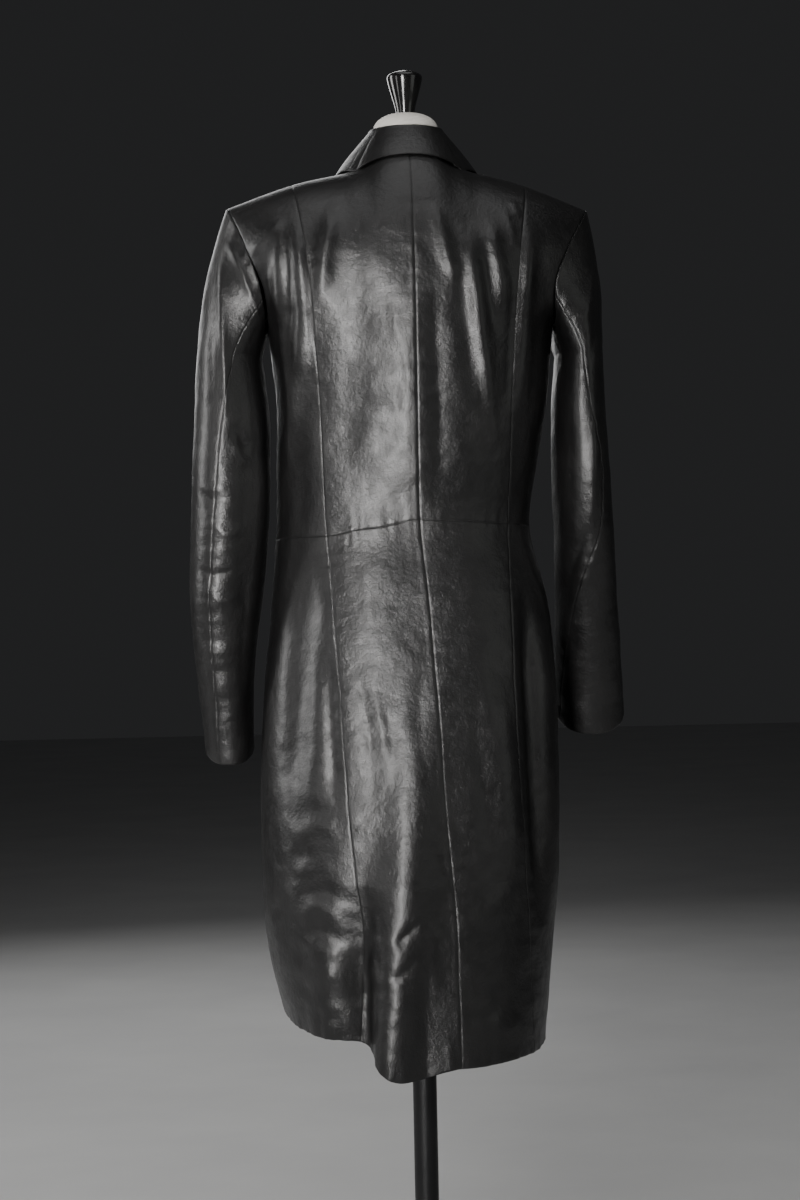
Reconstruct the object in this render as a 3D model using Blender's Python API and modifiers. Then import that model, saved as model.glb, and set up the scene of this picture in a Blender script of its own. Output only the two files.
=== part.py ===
"""A knee-length black leather coat with a waist seam, worn by a limbless dress form on a stand.

Metres, +Z up. +X is the wearer's right and +Y the way the wearer faces, so the back is at -Y.
The origin is on the floor, under the middle of the stand's round base.
"""

import math
from collections import namedtuple

import bmesh
import bpy
from mathutils import Vector

# Driving dimensions of the coat
WALL = 0.002
SEAM_HALF_GAP = 0.00025
ROUNDNESS = 2.4
UNDERARM_Z = 1.262
NECK_HALF_WIDTH = 0.060
NAPE_Z = 1.461
SHOULDER_BEND = 3.0
SIDE_ANGLE = 90.0
BREAK_Z = 1.185
FRONT_OVERLAP = 0.018
OVERLAP_LIFT = 0.0032
LIFT_START_X = 0.0234
LIFT_REACH = 0.054
LAPEL_LIFT = 0.0008
FRONT_HEM_Z = 0.425
FRONT_ROWS = 17
LAPEL_FOOT = {"left": 1.252, "right": 1.197}

# Driving dimensions of the dress form and its stand
POLE_RADIUS = 0.0142
BASE_RADIUS = 0.19
BASE_THICKNESS = 0.008
SOCKET_RADIUS = 0.030
SOCKET_HEIGHT = 0.050
NECK_TOP_Z = 1.4985
KNOB_BOTTOM_Z = 1.5180
CAP_RADIUS = 0.0385
DOME_STEPS = 7
REST_GAP = 0.0003
STAND_EDGE = 0.003

# The knob on the neck, from its domed top down
Knob = namedtuple("Knob", "radius height")
KNOBS = [
    Knob(0.0120, 0.0496),
    Knob(0.0185, 0.0472),
    Knob(0.0209, 0.0438),
    Knob(0.0205, 0.0390),
    Knob(0.0172, 0.0260),
    Knob(0.0132, 0.0120),
    Knob(0.0113, 0.0035),
    Knob(0.0108, 0.0000),
]
KNOB_SEAT_RADIUS = 0.010

# Horizontal sections of the coat from hem to underarm: silhouette at left and right, depth behind and
# in front of the stand's axis, and where the three back seams cross the section.
Section = namedtuple("Section", "z left right back front seam_left seam_mid seam_right")
SECTIONS = [
    Section(0.390, -0.146, 0.138, 0.194, 0.150, -0.098, 0.032, 0.1205),
    Section(0.450, -0.162, 0.145, 0.193, 0.152, -0.093, 0.031, 0.1180),
    Section(0.510, -0.178, 0.151, 0.190, 0.153, -0.087, 0.030, 0.1160),
    Section(0.580, -0.186, 0.158, 0.186, 0.154, -0.080, 0.029, 0.1145),
    Section(0.700, -0.188, 0.164, 0.175, 0.153, -0.089, 0.020, 0.1080),
    Section(0.800, -0.184, 0.165, 0.162, 0.148, -0.095, 0.016, 0.1050),
    Section(0.870, -0.178, 0.162, 0.150, 0.140, -0.098, 0.012, 0.1045),
    Section(0.940, -0.170, 0.156, 0.137, 0.129, -0.1015, 0.008, 0.1040),
    Section(1.025, -0.163, 0.137, 0.120, 0.117, -0.1065, 0.001, 0.1050),
    Section(1.100, -0.160, 0.148, 0.125, 0.124, -0.1100, 0.000, 0.1080),
    Section(1.180, -0.160, 0.161, 0.132, 0.137, -0.1130, 0.000, 0.1110),
    Section(UNDERARM_Z, -0.169, 0.169, 0.136, 0.138, -0.1165, 0.000, 0.1165),
]

# Above the underarm, by share of the height up to the shoulder line: the half width that the section
# would have without armholes, the princess seam, the two armhole edges and the depths.
Upper = namedtuple("Upper", "share half_width princess arm_left arm_right arm_front back front")
UPPERS = [
    Upper(0.00, 0.169, 0.1165, 0.1690, 0.1690, 0.1690, 0.136, 0.138),
    Upper(0.14, 0.186, 0.1180, 0.1710, 0.1645, 0.1600, 0.136, 0.135),
    Upper(0.30, 0.201, 0.1205, 0.1765, 0.1660, 0.1560, 0.134, 0.129),
    Upper(0.52, 0.216, 0.1250, 0.1880, 0.1790, 0.1640, 0.128, 0.118),
    Upper(0.78, 0.229, 0.1320, 0.2020, 0.1970, 0.1880, 0.116, 0.104),
    Upper(1.00, 0.236, 0.1380, 0.2140, 0.2120, 0.2130, 0.100, 0.092),
]
UPPER_SHARES = (0.16, 0.32, 0.48, 0.63, 0.77, 0.88, 0.95, 0.985, 0.997, 1.0)
ARM_COLUMNS = {-1: "arm_left", 1: "arm_right"}

# The shoulder seam from the side of the neck to its tip; the right one hangs lower by its drop
Shoulder = namedtuple("Shoulder", "x z right_drop")
SHOULDERS = [
    Shoulder(0.060, 1.4470, 0.0),
    Shoulder(0.095, 1.4410, 0.001),
    Shoulder(0.137, 1.4320, 0.004),
    Shoulder(0.214, 1.4060, 0.008),
]

# Height of the waist seam and of the hem at six places across the back
Line = namedtuple("Line", "left_side left_seam left_middle middle right_seam right_side")
WAIST = Line(1.014, 1.0155, 1.0230, 1.031, 1.0265, 1.024)
HEM = Line(0.457, 0.444, 0.403, 0.415, 0.419, 0.424)

# Folds of the back: a ridge, or a trough where the height is negative, between two points
Fold = namedtuple("Fold", "x_top z_top x_low z_low half_width height")
BACK_FOLDS = [
    Fold(-0.154, 1.385, -0.149, 1.150, 0.0080, 0.0042),
    Fold(-0.137, 1.390, -0.129, 1.200, 0.0100, 0.0045),
    Fold(-0.124, 1.285, -0.158, 1.060, 0.0100, 0.0036),
    Fold(-0.091, 1.400, -0.110, 1.285, 0.0100, 0.0036),
    Fold(0.023, 1.395, 0.048, 1.295, 0.0090, 0.0032),
    Fold(0.060, 1.375, 0.087, 1.150, 0.0110, 0.0042),
    Fold(0.089, 1.375, 0.106, 1.270, 0.0090, 0.0032),
    Fold(0.1385, 1.375, 0.121, 1.150, 0.0085, 0.0045),
    Fold(-0.124, 1.010, -0.156, 0.690, 0.0170, -0.0060),
    Fold(-0.110, 0.900, -0.104, 0.690, 0.0100, -0.0032),
    Fold(-0.001, 0.860, -0.052, 0.380, 0.0290, 0.0150),
    Fold(-0.080, 0.620, -0.088, 0.380, 0.0200, -0.0260),
    Fold(0.087, 0.830, 0.101, 0.620, 0.0140, 0.0045),
    Fold(0.122, 0.960, 0.1315, 0.560, 0.0100, -0.0100),
    Fold(0.145, 0.960, 0.152, 0.560, 0.0100, 0.0050),
]
# The same in front, where softer folds fall from the bust and the lowest button
FRONT_FOLDS = [
    Fold(-0.120, 1.330, -0.105, 1.120, 0.0120, 0.0050),
    Fold(0.120, 1.330, 0.108, 1.110, 0.0120, 0.0050),
    Fold(-0.075, 0.960, -0.105, 0.400, 0.0200, 0.0090),
    Fold(0.080, 0.960, 0.100, 0.400, 0.0200, 0.0090),
    Fold(-0.128, 0.940, -0.145, 0.480, 0.0120, -0.0070),
    Fold(0.122, 0.940, 0.138, 0.480, 0.0120, -0.0070),
]

# A sleeve from under the arm to the cuff: silhouette seen from behind, the middle and half of its depth,
# and the angle of the hind seam, from the outer edge round the back
Sleeve = namedtuple("Sleeve", "z outer inner middle half_depth hind_seam")
SLEEVES = {
    "left": [
        Sleeve(1.228, 0.2530, 0.1760, -0.008, 0.074, 97),
        Sleeve(1.160, 0.2575, 0.1690, -0.012, 0.071, 80),
        Sleeve(1.087, 0.2615, 0.1690, -0.016, 0.067, 72),
        Sleeve(1.015, 0.2640, 0.1730, -0.014, 0.064, 67),
        Sleeve(0.944, 0.2665, 0.1815, -0.004, 0.061, 66),
        Sleeve(0.873, 0.2625, 0.1915, 0.012, 0.057, 69),
        Sleeve(0.820, 0.2575, 0.1945, 0.026, 0.054, 72),
        Sleeve(0.766, 0.2525, 0.1945, 0.038, 0.052, 66),
    ],
    "right": [
        Sleeve(1.228, 0.2265, 0.1740, -0.006, 0.076, 96),
        Sleeve(1.160, 0.2285, 0.1670, -0.012, 0.073, 80),
        Sleeve(1.087, 0.2325, 0.1660, -0.014, 0.068, 60),
        Sleeve(1.025, 0.2370, 0.1680, -0.004, 0.063, 70),
        Sleeve(0.965, 0.2430, 0.1710, 0.020, 0.057, 108),
        Sleeve(0.905, 0.2490, 0.1730, 0.046, 0.053, 136),
        Sleeve(0.855, 0.2545, 0.1730, 0.068, 0.050, 148),
        Sleeve(0.806, 0.2590, 0.1720, 0.086, 0.048, 150),
    ],
}
SLEEVE_ROUNDNESS = 2.3
SLEEVE_SLANT = 0.36
ARMHOLE_SETBACK = 0.0011
HIND_SEAM_AT_ARMHOLE = 128
CAP_SHARES = (0.0, 0.16, 0.36, 0.58, 0.8)
CAP_EASE = 0.007
CAP_DROP_TOP = 1.0
CAP_DROP_UNDER = 0.8
FORE_SEAM_ANGLE = -112.0
SIDES = {"left": -1, "right": 1}

# The collar by angle round the neck from the nape: the crease, the leaf's edge, which rests on the coat,
# and how far the leaf bulges between them
Collar = namedtuple("Collar", "angle crease_radius crease_z leaf_radius bulge")
COLLARS = [
    Collar(0, 0.0500, 1.4945, 0.0790, 0.0010),
    Collar(40, 0.0485, 1.4945, 0.0795, 0.0012),
    Collar(80, 0.0460, 1.4935, 0.0815, 0.0015),
    Collar(115, 0.0490, 1.4800, 0.0870, 0.0050),
    Collar(140, 0.0570, 1.4620, 0.0930, 0.0120),
]
COLLAR_END = 140
COLLAR_ANGLES = 26
COLLAR_REST_GAP = 0.0014
CREASE_LEAN = 0.4
STAND_END = 136
STAND_GAP = 0.0015
STAND_SETBACK = 0.0009
STAND_FRONT_Z = 1.436

# The lapel, turned back along the roll line: its outer edge by height
Lapel = namedtuple("Lapel", "z edge_x")
LAPELS = [
    Lapel(1.190, 0.012),
    Lapel(1.250, 0.050),
    Lapel(1.310, 0.088),
    Lapel(1.355, 0.112),
    Lapel(1.380, 0.108),
    Lapel(1.408, 0.090),
]
LAPEL_TOP_Z = 1.408
GORGE_DROP = 0.028

BUTTON_ROWS = (15, 13, 11, 9)
BUTTON_RADIUS = 0.0115
BUTTON_THICKNESS = 0.0038
BUTTON_GAP = 0.0008
BUTTON_EDGE = 0.0009

# The dress form by horizontal sections: half width, depth behind and in front of the axis, and roundness
Form = namedtuple("Form", "z half_width back front roundness")
FORMS = [
    Form(0.780, 0.138, 0.128, 0.116, 2.4),
    Form(0.795, 0.146, 0.137, 0.123, 2.4),
    Form(0.870, 0.142, 0.130, 0.118, 2.4),
    Form(0.950, 0.130, 0.115, 0.105, 2.4),
    Form(1.025, 0.118, 0.098, 0.096, 2.4),
    Form(1.100, 0.128, 0.104, 0.104, 2.4),
    Form(1.190, 0.138, 0.112, 0.120, 2.4),
    Form(1.270, 0.146, 0.114, 0.114, 2.3),
    Form(1.330, 0.160, 0.108, 0.098, 2.1),
    Form(1.370, 0.178, 0.096, 0.082, 1.9),
    Form(1.394, 0.190, 0.080, 0.066, 1.7),
]
# Its shoulders, which carry the coat along the shoulder seam, by distance from the axis
FormShoulder = namedtuple("FormShoulder", "x back front")
FORM_SHOULDERS = [
    FormShoulder(0.186, 0.062, 0.050),
    FormShoulder(0.160, 0.054, 0.043),
    FormShoulder(0.134, 0.048, 0.039),
    FormShoulder(0.108, 0.044, 0.037),
    FormShoulder(0.084, 0.042, 0.036),
    FormShoulder(0.066, 0.0405, 0.0355),
]
FORM_SHOULDER_ROUNDNESS = 1.5
FORM_REST_GAP = 0.0007
FORM_NECKS = [
    Form(1.4470, 0.0520, 0.0400, 0.0355, 1.7),
    Form(1.4540, 0.0455, 0.0395, 0.0355, 1.9),
    Form(1.4650, 0.0395, 0.0385, 0.0360, 2.0),
    Form(1.4780, 0.0375, 0.0375, 0.0365, 2.0),
    Form(NECK_TOP_Z, 0.0375, 0.0375, 0.0370, 2.0),
]

BLACK_LEATHER = ("black_leather", (0.018, 0.018, 0.019, 1), 0.36, 0.0)
BLACK_HORN = ("black_horn", (0.012, 0.011, 0.011, 1), 0.30, 0.0)
WHITE_JERSEY = ("white_jersey", (0.82, 0.79, 0.74, 1), 0.85, 0.0)
BLACK_LACQUER = ("black_lacquer", (0.010, 0.010, 0.011, 1), 0.14, 0.0)
BLACK_STEEL = ("black_steel", (0.014, 0.014, 0.016, 1), 0.42, 0.6)


def table_value(table, key, column, at):
    """A column of a table at any key, on a smooth curve through its rows."""
    keys = [getattr(row, key) for row in table]
    values = [getattr(row, column) for row in table]
    if keys[0] > keys[-1]:
        keys.reverse()
        values.reverse()
    at = min(max(at, keys[0]), keys[-1])
    i = max(j for j in range(len(keys) - 1) if keys[j] <= at)
    span = keys[i + 1] - keys[i]
    t = (at - keys[i]) / span
    rise = (values[i + 1] - values[i]) / span

    def slope(j):
        if j == 0 or j == len(keys) - 1:
            return rise
        return (values[j + 1] - values[j - 1]) / (keys[j + 1] - keys[j - 1])

    a, b = slope(i) * span, slope(i + 1) * span
    d = values[i + 1] - values[i]
    return values[i] + a * t + (3 * d - 2 * a - b) * t * t + (a + b - 2 * d) * t**3


def blend(a, b, share):
    return a + (b - a) * share


def fold_depth(folds, x, z):
    """How far the folds lift the cloth at a place, each fading out over its ends."""
    total = 0.0
    for f in folds:
        if not f.z_low < z < f.z_top:
            continue
        along = (f.z_top - z) / (f.z_top - f.z_low)
        middle = blend(f.x_top, f.x_low, along)
        ends = min(1.0, 4 * along, 4 * (1 - along)) if f.z_low > FRONT_HEM_Z else min(1.0, 2 * along)
        total += f.height * ends * math.exp(-(((x - middle) / f.half_width) ** 2))
    return total


def arch(x, half_width):
    """The share of a section's depth left at a distance from its middle."""
    share = min(1.0, abs(x) / half_width)
    return (1 - share**ROUNDNESS) ** (1 / ROUNDNESS)


def shoulder_z(x, facing=-1):
    """Height of the coat's top line: the shoulder seam, and behind also the neck seam between its ends."""
    if facing > 0 or abs(x) >= NECK_HALF_WIDTH:
        drop = table_value(SHOULDERS, "x", "right_drop", x) if x > 0 else 0.0
        return table_value(SHOULDERS, "x", "z", abs(x)) - drop
    return blend(NAPE_Z, SHOULDERS[0].z, (x / NECK_HALF_WIDTH) ** 2)


def shoulder_y(x, facing):
    if facing > 0 or abs(x) >= NECK_HALF_WIDTH:
        return 0.0
    return -NECK_HALF_WIDTH * math.sqrt(1 - (x / NECK_HALF_WIDTH) ** 2)


def lower_point(angle, z):
    """A point below the underarm; the angle runs from the middle of the back towards +X."""
    row = [table_value(SECTIONS, "z", c, z) for c in ("left", "right", "back", "front")]
    left, right, back, front = row
    middle, half = (left + right) / 2, (right - left) / 2
    turn = math.radians(angle)
    behind = math.cos(turn) >= 0
    offset = half * math.sin(turn)
    depth = arch(offset, half) * (-back if behind else front)
    x = middle + offset
    lift = fold_depth(BACK_FOLDS if behind else FRONT_FOLDS, x, z)
    outward = Vector((math.sin(turn) / half, -math.cos(turn) / (back if behind else front), 0)).normalized()
    return Vector((x, depth, z)) + outward * lift


def upper_point(x, share, facing):
    """A point above the underarm, by its share of the height there; facing is -1 behind and 1 in front."""
    z = blend(UNDERARM_Z, shoulder_z(x, facing), share)
    half = table_value(UPPERS, "share", "half_width", share)
    depth = table_value(UPPERS, "share", "back" if facing < 0 else "front", share)
    bend = max(0.0, 1 - share**SHOULDER_BEND) ** (1 / SHOULDER_BEND)
    y = blend(shoulder_y(x, facing), facing * depth * arch(x, half), bend)
    lift = fold_depth(BACK_FOLDS if facing < 0 else FRONT_FOLDS, x, z)
    return Vector((x, y + facing * lift, z))


def lower_normal(angle, z):
    step = 0.5
    rise = 0.004
    across = lower_point(angle + step, z) - lower_point(angle - step, z)
    along = lower_point(angle, z + rise) - lower_point(angle, z - rise)
    return across.cross(along).normalized()


def upper_normal(x, share, facing):
    step = 0.002
    if share > 0.999:
        return Vector((shoulder_z(x - step, facing) - shoulder_z(x + step, facing), 0, 2 * step)).normalized()
    rise = 0.02
    across = upper_point(x + step, share, facing) - upper_point(x - step, share, facing)
    along = upper_point(x, min(1, share + rise), facing) - upper_point(x, max(0, share - rise), facing)
    return (across.cross(along) * -facing).normalized()


def seam_angle(name, z):
    """The angle at which a back seam crosses a section below the underarm."""
    left, right, x = (table_value(SECTIONS, "z", c, z) for c in ("left", "right", name))
    return math.degrees(math.asin((x - (left + right) / 2) / ((right - left) / 2)))


def line_height(line, angle, z):
    """Height of the waist seam or hem at an angle, from its six stated places."""
    left, middle, right = (seam_angle(n, z) for n in ("seam_left", "seam_mid", "seam_right"))
    places = [-SIDE_ANGLE, left, (left + middle) / 2, middle, right, SIDE_ANGLE]
    angle = min(max(angle, -SIDE_ANGLE), SIDE_ANGLE)
    i = max(j for j in range(len(places) - 1) if places[j] <= angle)
    t = (angle - places[i]) / (places[i + 1] - places[i])
    return blend(line[i], line[i + 1], t * t * (3 - 2 * t))


def mesh_object(name, mesh, finish):
    """Puts a mesh in the coat's collection with its own material."""
    label, colour, roughness, metallic = finish
    material = bpy.data.materials.new(f"{name}_{label}")
    material.use_nodes = True
    shader = material.node_tree.nodes["Principled BSDF"]
    shader.inputs["Base Color"].default_value = colour
    shader.inputs["Roughness"].default_value = roughness
    shader.inputs["Metallic"].default_value = metallic
    mesh.materials.append(material)
    piece = bpy.data.objects.new(name, mesh)
    COLLECTION.objects.link(piece)
    mesh.shade_smooth()
    mesh.set_sharp_from_angle(angle=math.radians(40))
    return piece


def pull_in(grid, distance):
    """Moves a grid's four edges inwards, which leaves the gap at its seams."""
    moved = [[p.copy() for p in row] for row in grid]
    for i, row in enumerate(grid):
        moved[i][0] += (row[1] - row[0]).normalized() * distance
        moved[i][-1] += (row[-2] - row[-1]).normalized() * distance
    for j in range(len(grid[0])):
        moved[0][j] += (grid[1][j] - grid[0][j]).normalized() * distance
        moved[-1][j] += (grid[-2][j] - grid[-1][j]).normalized() * distance
    return moved


def wall(name, outer, inner, finish=BLACK_LEATHER):
    """A closed wall lofted between an outer and an inner grid of points."""
    form = bmesh.new()
    faces = [[[form.verts.new(p) for p in row] for row in grid] for grid in (outer, inner)]
    rows, columns = len(outer), len(outer[0])
    for grid in faces:
        for i in range(rows - 1):
            for j in range(columns - 1):
                form.faces.new((grid[i][j], grid[i][j + 1], grid[i + 1][j + 1], grid[i + 1][j]))
    rim = [(0, j) for j in range(columns)]
    rim += [(i, columns - 1) for i in range(1, rows)]
    rim += [(rows - 1, j) for j in range(columns - 2, -1, -1)]
    rim += [(i, 0) for i in range(rows - 2, 0, -1)]
    for a, b in zip(rim, rim[1:] + rim[:1]):
        out, back = faces
        form.faces.new((out[a[0]][a[1]], out[b[0]][b[1]], back[b[0]][b[1]], back[a[0]][a[1]]))
    bmesh.ops.recalc_face_normals(form, faces=form.faces)
    mesh = bpy.data.meshes.new(name)
    form.to_mesh(mesh)
    form.free()
    return mesh_object(name, mesh, finish)


def cloth(name, grid, lift=0.0):
    """A cloth panel from a grid of (point, normal), raised off its place by a lift."""
    outer = [[p + n * lift for p, n in row] for row in grid]
    inner = [[p + n * (lift - WALL) for p, n in row] for row in grid]
    return wall(name, pull_in(outer, SEAM_HALF_GAP), pull_in(inner, SEAM_HALF_GAP))


def spread(start, end, count):
    return [blend(start, end, i / count) for i in range(count + 1)]


def back_bodice(name, near, far, columns):
    """A back panel from waist to shoulder, between two of the seams or a seam and the armhole."""
    def ends(z):
        return [a if isinstance(a, float) else seam_angle(a, z) for a in (near, far)]

    grid = []
    rows = 6
    for i in range(rows + 1):
        row = []
        for share in spread(0, 1, columns):
            z = UNDERARM_Z
            for _ in range(2):
                angle = blend(*ends(z), share)
                z = blend(line_height(WAIST, angle, WAIST.middle), UNDERARM_Z, i / rows)
            angle = blend(*ends(z), share)
            row.append((lower_point(angle, z), lower_normal(angle, z)))
        grid.append(row)
    seams = ends(UNDERARM_Z)
    chest = [lower_point(blend(*seams, s), UNDERARM_Z).x for s in spread(0, 1, columns)]
    shares = [(x - chest[0]) / (chest[-1] - chest[0]) for x in chest]
    tops = top_shares(near, far, columns) or shares
    for height in UPPER_SHARES:
        x0, x1 = (upper_edge(a, height) for a in (near, far))
        places = [blend(x0, x1, blend(s, t, height**2)) for s, t in zip(shares, tops)]
        grid.append([(upper_point(x, height, -1), upper_normal(x, height, -1)) for x in places])
    return cloth(name, grid)


def top_shares(near, far, columns):
    """Shares across a middle panel's top that put half of its columns round the neck seam."""
    if "seam_mid" not in (near, far):
        return None
    half = columns // 2
    neck = [NECK_HALF_WIDTH * math.sin(math.pi / 2 * i / half) for i in range(half)]
    places = neck + spread(NECK_HALF_WIDTH, UPPERS[-1].princess, columns - half)
    shares = [x / UPPERS[-1].princess for x in places]
    return shares if near == "seam_mid" else [1 - s for s in reversed(shares)]


def upper_edge(edge, height):
    """Where a back panel's edge lies above the underarm."""
    if edge == "seam_mid":
        return 0.0
    if isinstance(edge, float):
        side = math.copysign(1, edge)
        return side * table_value(UPPERS, "share", ARM_COLUMNS[side], height)
    sign = -1 if edge == "seam_left" else 1
    return sign * table_value(UPPERS, "share", "princess", height)


def skirt(name, near, far, columns, rows=15):
    """A skirt panel from the waist seam to the hem, between two seams or a seam and the side."""
    grid = []
    for i in range(rows + 1):
        row = []
        for share in spread(0, 1, columns):
            z = blend(WAIST.middle, HEM.middle, i / rows)
            for _ in range(2):
                ends = [a if isinstance(a, float) else seam_angle(a, z) for a in (near, far)]
                angle = blend(*ends, share)
                top = line_height(WAIST, angle, WAIST.middle)
                z = blend(top, line_height(HEM, angle, HEM.middle), i / rows)
            row.append((lower_point(angle, z), lower_normal(angle, z)))
        grid.append(row)
    return cloth(name, grid)


def front_edge(side, z):
    """Distance of a front's free edge past the middle: the overlap, or the roll line above the break."""
    if z <= BREAK_Z:
        return FRONT_OVERLAP * side
    rise = (z - BREAK_Z) / (SHOULDERS[0].z - BREAK_Z)
    return side * blend(FRONT_OVERLAP, -NECK_HALF_WIDTH, min(1.0, rise))


def front_lift(side, x):
    """The right front lies over the left one, so its overlap stands off by a little."""
    if side < 0:
        return 0.0
    reach = min(1.0, max(0.0, 1 - (x - LIFT_START_X) / LIFT_REACH))
    return OVERLAP_LIFT * reach * reach * (3 - 2 * reach)


def front_place(side, x, z):
    """Point and normal of the front at a distance from the middle, at any height."""
    if z < UNDERARM_Z:
        left, right = (table_value(SECTIONS, "z", c, z) for c in ("left", "right"))
        share = (x - (left + right) / 2) / ((right - left) / 2)
        angle = 180 - math.degrees(math.asin(max(-1.0, min(1.0, share))))
        p, n = lower_point(angle, z), lower_normal(angle, z)
    else:
        share = min(1.0, (z - UNDERARM_Z) / (shoulder_z(x, 1) - UNDERARM_Z))
        p, n = upper_point(x, share, 1), upper_normal(x, share, 1)
    return p + n * front_lift(side, x), n


def front_panel(side_name, columns=9):
    """A front from shoulder to hem, between its free edge and the side seam or armhole."""
    side = SIDES[side_name]
    grid = []
    for i in range(FRONT_ROWS):
        z = blend(FRONT_HEM_Z, UNDERARM_Z, i / FRONT_ROWS)
        left, right = (table_value(SECTIONS, "z", c, z) for c in ("left", "right"))
        middle, half = (left + right) / 2, (right - left) / 2
        free = math.degrees(math.asin((-front_edge(side, z) - middle) / half))
        row = []
        for share in spread(0, 1, columns):
            angle = blend(free, SIDE_ANGLE * side, share)
            hem = blend(FRONT_HEM_Z, HEM.left_side if side < 0 else HEM.right_side, share**3)
            height = blend(hem, UNDERARM_Z, i / FRONT_ROWS)
            p, n = lower_point(180 - angle, height), lower_normal(180 - angle, height)
            row.append((p + n * front_lift(side, p.x), n))
        grid.append(row)
    for height in (0.0,) + UPPER_SHARES:
        z = blend(UNDERARM_Z, SHOULDERS[0].z, height)
        free = -front_edge(side, z)
        stop = side * table_value(UPPERS, "share", "arm_front", height)
        row = []
        for share in spread(0, 1, columns):
            x = blend(free, stop, blend(math.sin(share * math.pi / 2), share, height))
            p, n = upper_point(x, height, 1), upper_normal(x, height, 1)
            row.append((p + n * front_lift(side, p.x), n))
        grid.append(row)
    return cloth(f"front_{side_name}", grid)


def lapel(side_name, columns=4, rows=9):
    """The turned-back edge of a front, lying on it from the roll line outwards."""
    side = SIDES[side_name]
    grid = []
    for i in range(rows + 1):
        row = []
        for share in spread(0, 1, columns):
            z = blend(LAPEL_FOOT[side_name], LAPEL_TOP_Z - GORGE_DROP * share, i / rows)
            edge = side * table_value(LAPELS, "z", "edge_x", z)
            row.append(front_place(side, blend(-front_edge(side, z), edge, share), z))
        grid.append(row)
    return cloth(f"lapel_{side_name}", grid, LAPEL_LIFT + WALL)


def armhole_point(side, turn):
    """A point on the armhole; the turn runs from the shoulder's tip round the back and under the arm."""
    facing = -1 if math.sin(turn) >= 0 else 1
    share = (1 + math.cos(turn)) / 2
    rows = (0.0,) + UPPER_SHARES
    i = max(j for j in range(len(rows) - 1) if rows[j] <= share)
    low, high = (armhole_edge(side, r, facing) for r in rows[i:i + 2])
    setback = Vector((side * ARMHOLE_SETBACK, 0, 0))
    return low.lerp(high, (share - rows[i]) / (rows[i + 1] - rows[i])) + setback


def armhole_edge(side, share, facing):
    """A corner of a panel's armhole edge, at one of the panel's own rows."""
    x = side * table_value(UPPERS, "share", ARM_COLUMNS[side] if facing < 0 else "arm_front", share)
    return upper_point(x, share, facing)


def sleeve_ring(side_name, turn, z):
    """A point of a sleeve's outline below the underarm."""
    side, rows = SIDES[side_name], SLEEVES[side_name]
    names = ("outer", "inner", "middle", "half_depth")
    outer, inner, middle, half_depth = (table_value(rows, "z", name, z) for name in names)
    cosine, sine = math.cos(turn), math.sin(turn)
    power = 2 / SLEEVE_ROUNDNESS
    x = (outer + inner) / 2 + (outer - inner) / 2 * math.copysign(abs(cosine) ** power, cosine)
    y = middle - half_depth * math.copysign(abs(sine) ** power, sine)
    slant = (middle - rows[0].middle) * SLEEVE_SLANT
    return Vector((side * x, y, z + slant * (y - middle) / half_depth))


def sleeve_point(side_name, turn, along):
    """A point of a sleeve: along runs from 0 at the armhole to 1 under the arm and 2 at the cuff."""
    side, rows = SIDES[side_name], SLEEVES[side_name]
    if along >= 1:
        return sleeve_ring(side_name, turn, blend(rows[0].z, rows[-1].z, along - 1))
    top = armhole_point(side, turn)
    low = sleeve_ring(side_name, turn, rows[0].z)
    ease = Vector((side * CAP_EASE * math.sin(math.pi * along) * (1 + math.cos(turn)) / 2, 0, 0))
    drop = along ** blend(CAP_DROP_UNDER, CAP_DROP_TOP, (1 + math.cos(turn)) / 2)
    return Vector((blend(top.x, low.x, along), blend(top.y, low.y, along), blend(top.z, low.z, drop))) + ease


def sleeve_normal(side_name, turn, along):
    """Outward direction of a sleeve; at the armhole it keeps to the plane of the panels' edges."""
    step, rise = 0.05, 0.04
    around = sleeve_point(side_name, turn + step, along) - sleeve_point(side_name, turn - step, along)
    low, high = min(2, along + rise), max(0, along - rise)
    down = sleeve_point(side_name, turn, low) - sleeve_point(side_name, turn, high)
    normal = around.cross(down) * SIDES[side_name]
    if along == 0:
        normal.x = 0
    return normal.normalized()


def hind_turn(side_name, along):
    rows = SLEEVES[side_name]
    if along >= 1:
        return math.radians(table_value(rows, "z", "hind_seam", blend(rows[0].z, rows[-1].z, along - 1)))
    return math.radians(blend(HIND_SEAM_AT_ARMHOLE, rows[0].hind_seam, along))


def sleeve_piece(name, side_name, is_top, columns, rows=13):
    """One of the two lengths of a sleeve, between its fore seam and its hind seam."""
    fore = math.radians(FORE_SEAM_ANGLE if is_top else FORE_SEAM_ANGLE + 360)
    grid = []
    for along in CAP_SHARES + tuple(1 + i / rows for i in range(rows + 1)):
        turns = spread(fore, hind_turn(side_name, along), columns)
        grid.append([(sleeve_point(side_name, t, along), sleeve_normal(side_name, t, along)) for t in turns])
    return cloth(name, grid)


def collar_place(angle, radius, z):
    turn = math.radians(angle)
    return Vector((radius * math.sin(turn), -radius * math.cos(turn), z))


def collar_value(column, angle):
    return table_value(COLLARS, "angle", column, abs(angle))


def collar_edge(angle):
    """Point and normal of the leaf's edge, raised off the coat at its distance from the neck's middle."""
    place = collar_place(angle, collar_value("leaf_radius", angle), 0)
    facing = -1 if place.y < 0 else 1
    low, high = 0.5, 1.0
    for _ in range(24):
        share = (low + high) / 2
        if abs(upper_point(place.x, share, facing).y) > abs(place.y):
            low = share
        else:
            high = share
    normal = upper_normal(place.x, low, facing)
    return upper_point(place.x, low, facing) + normal * (WALL + COLLAR_REST_GAP), normal


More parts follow.
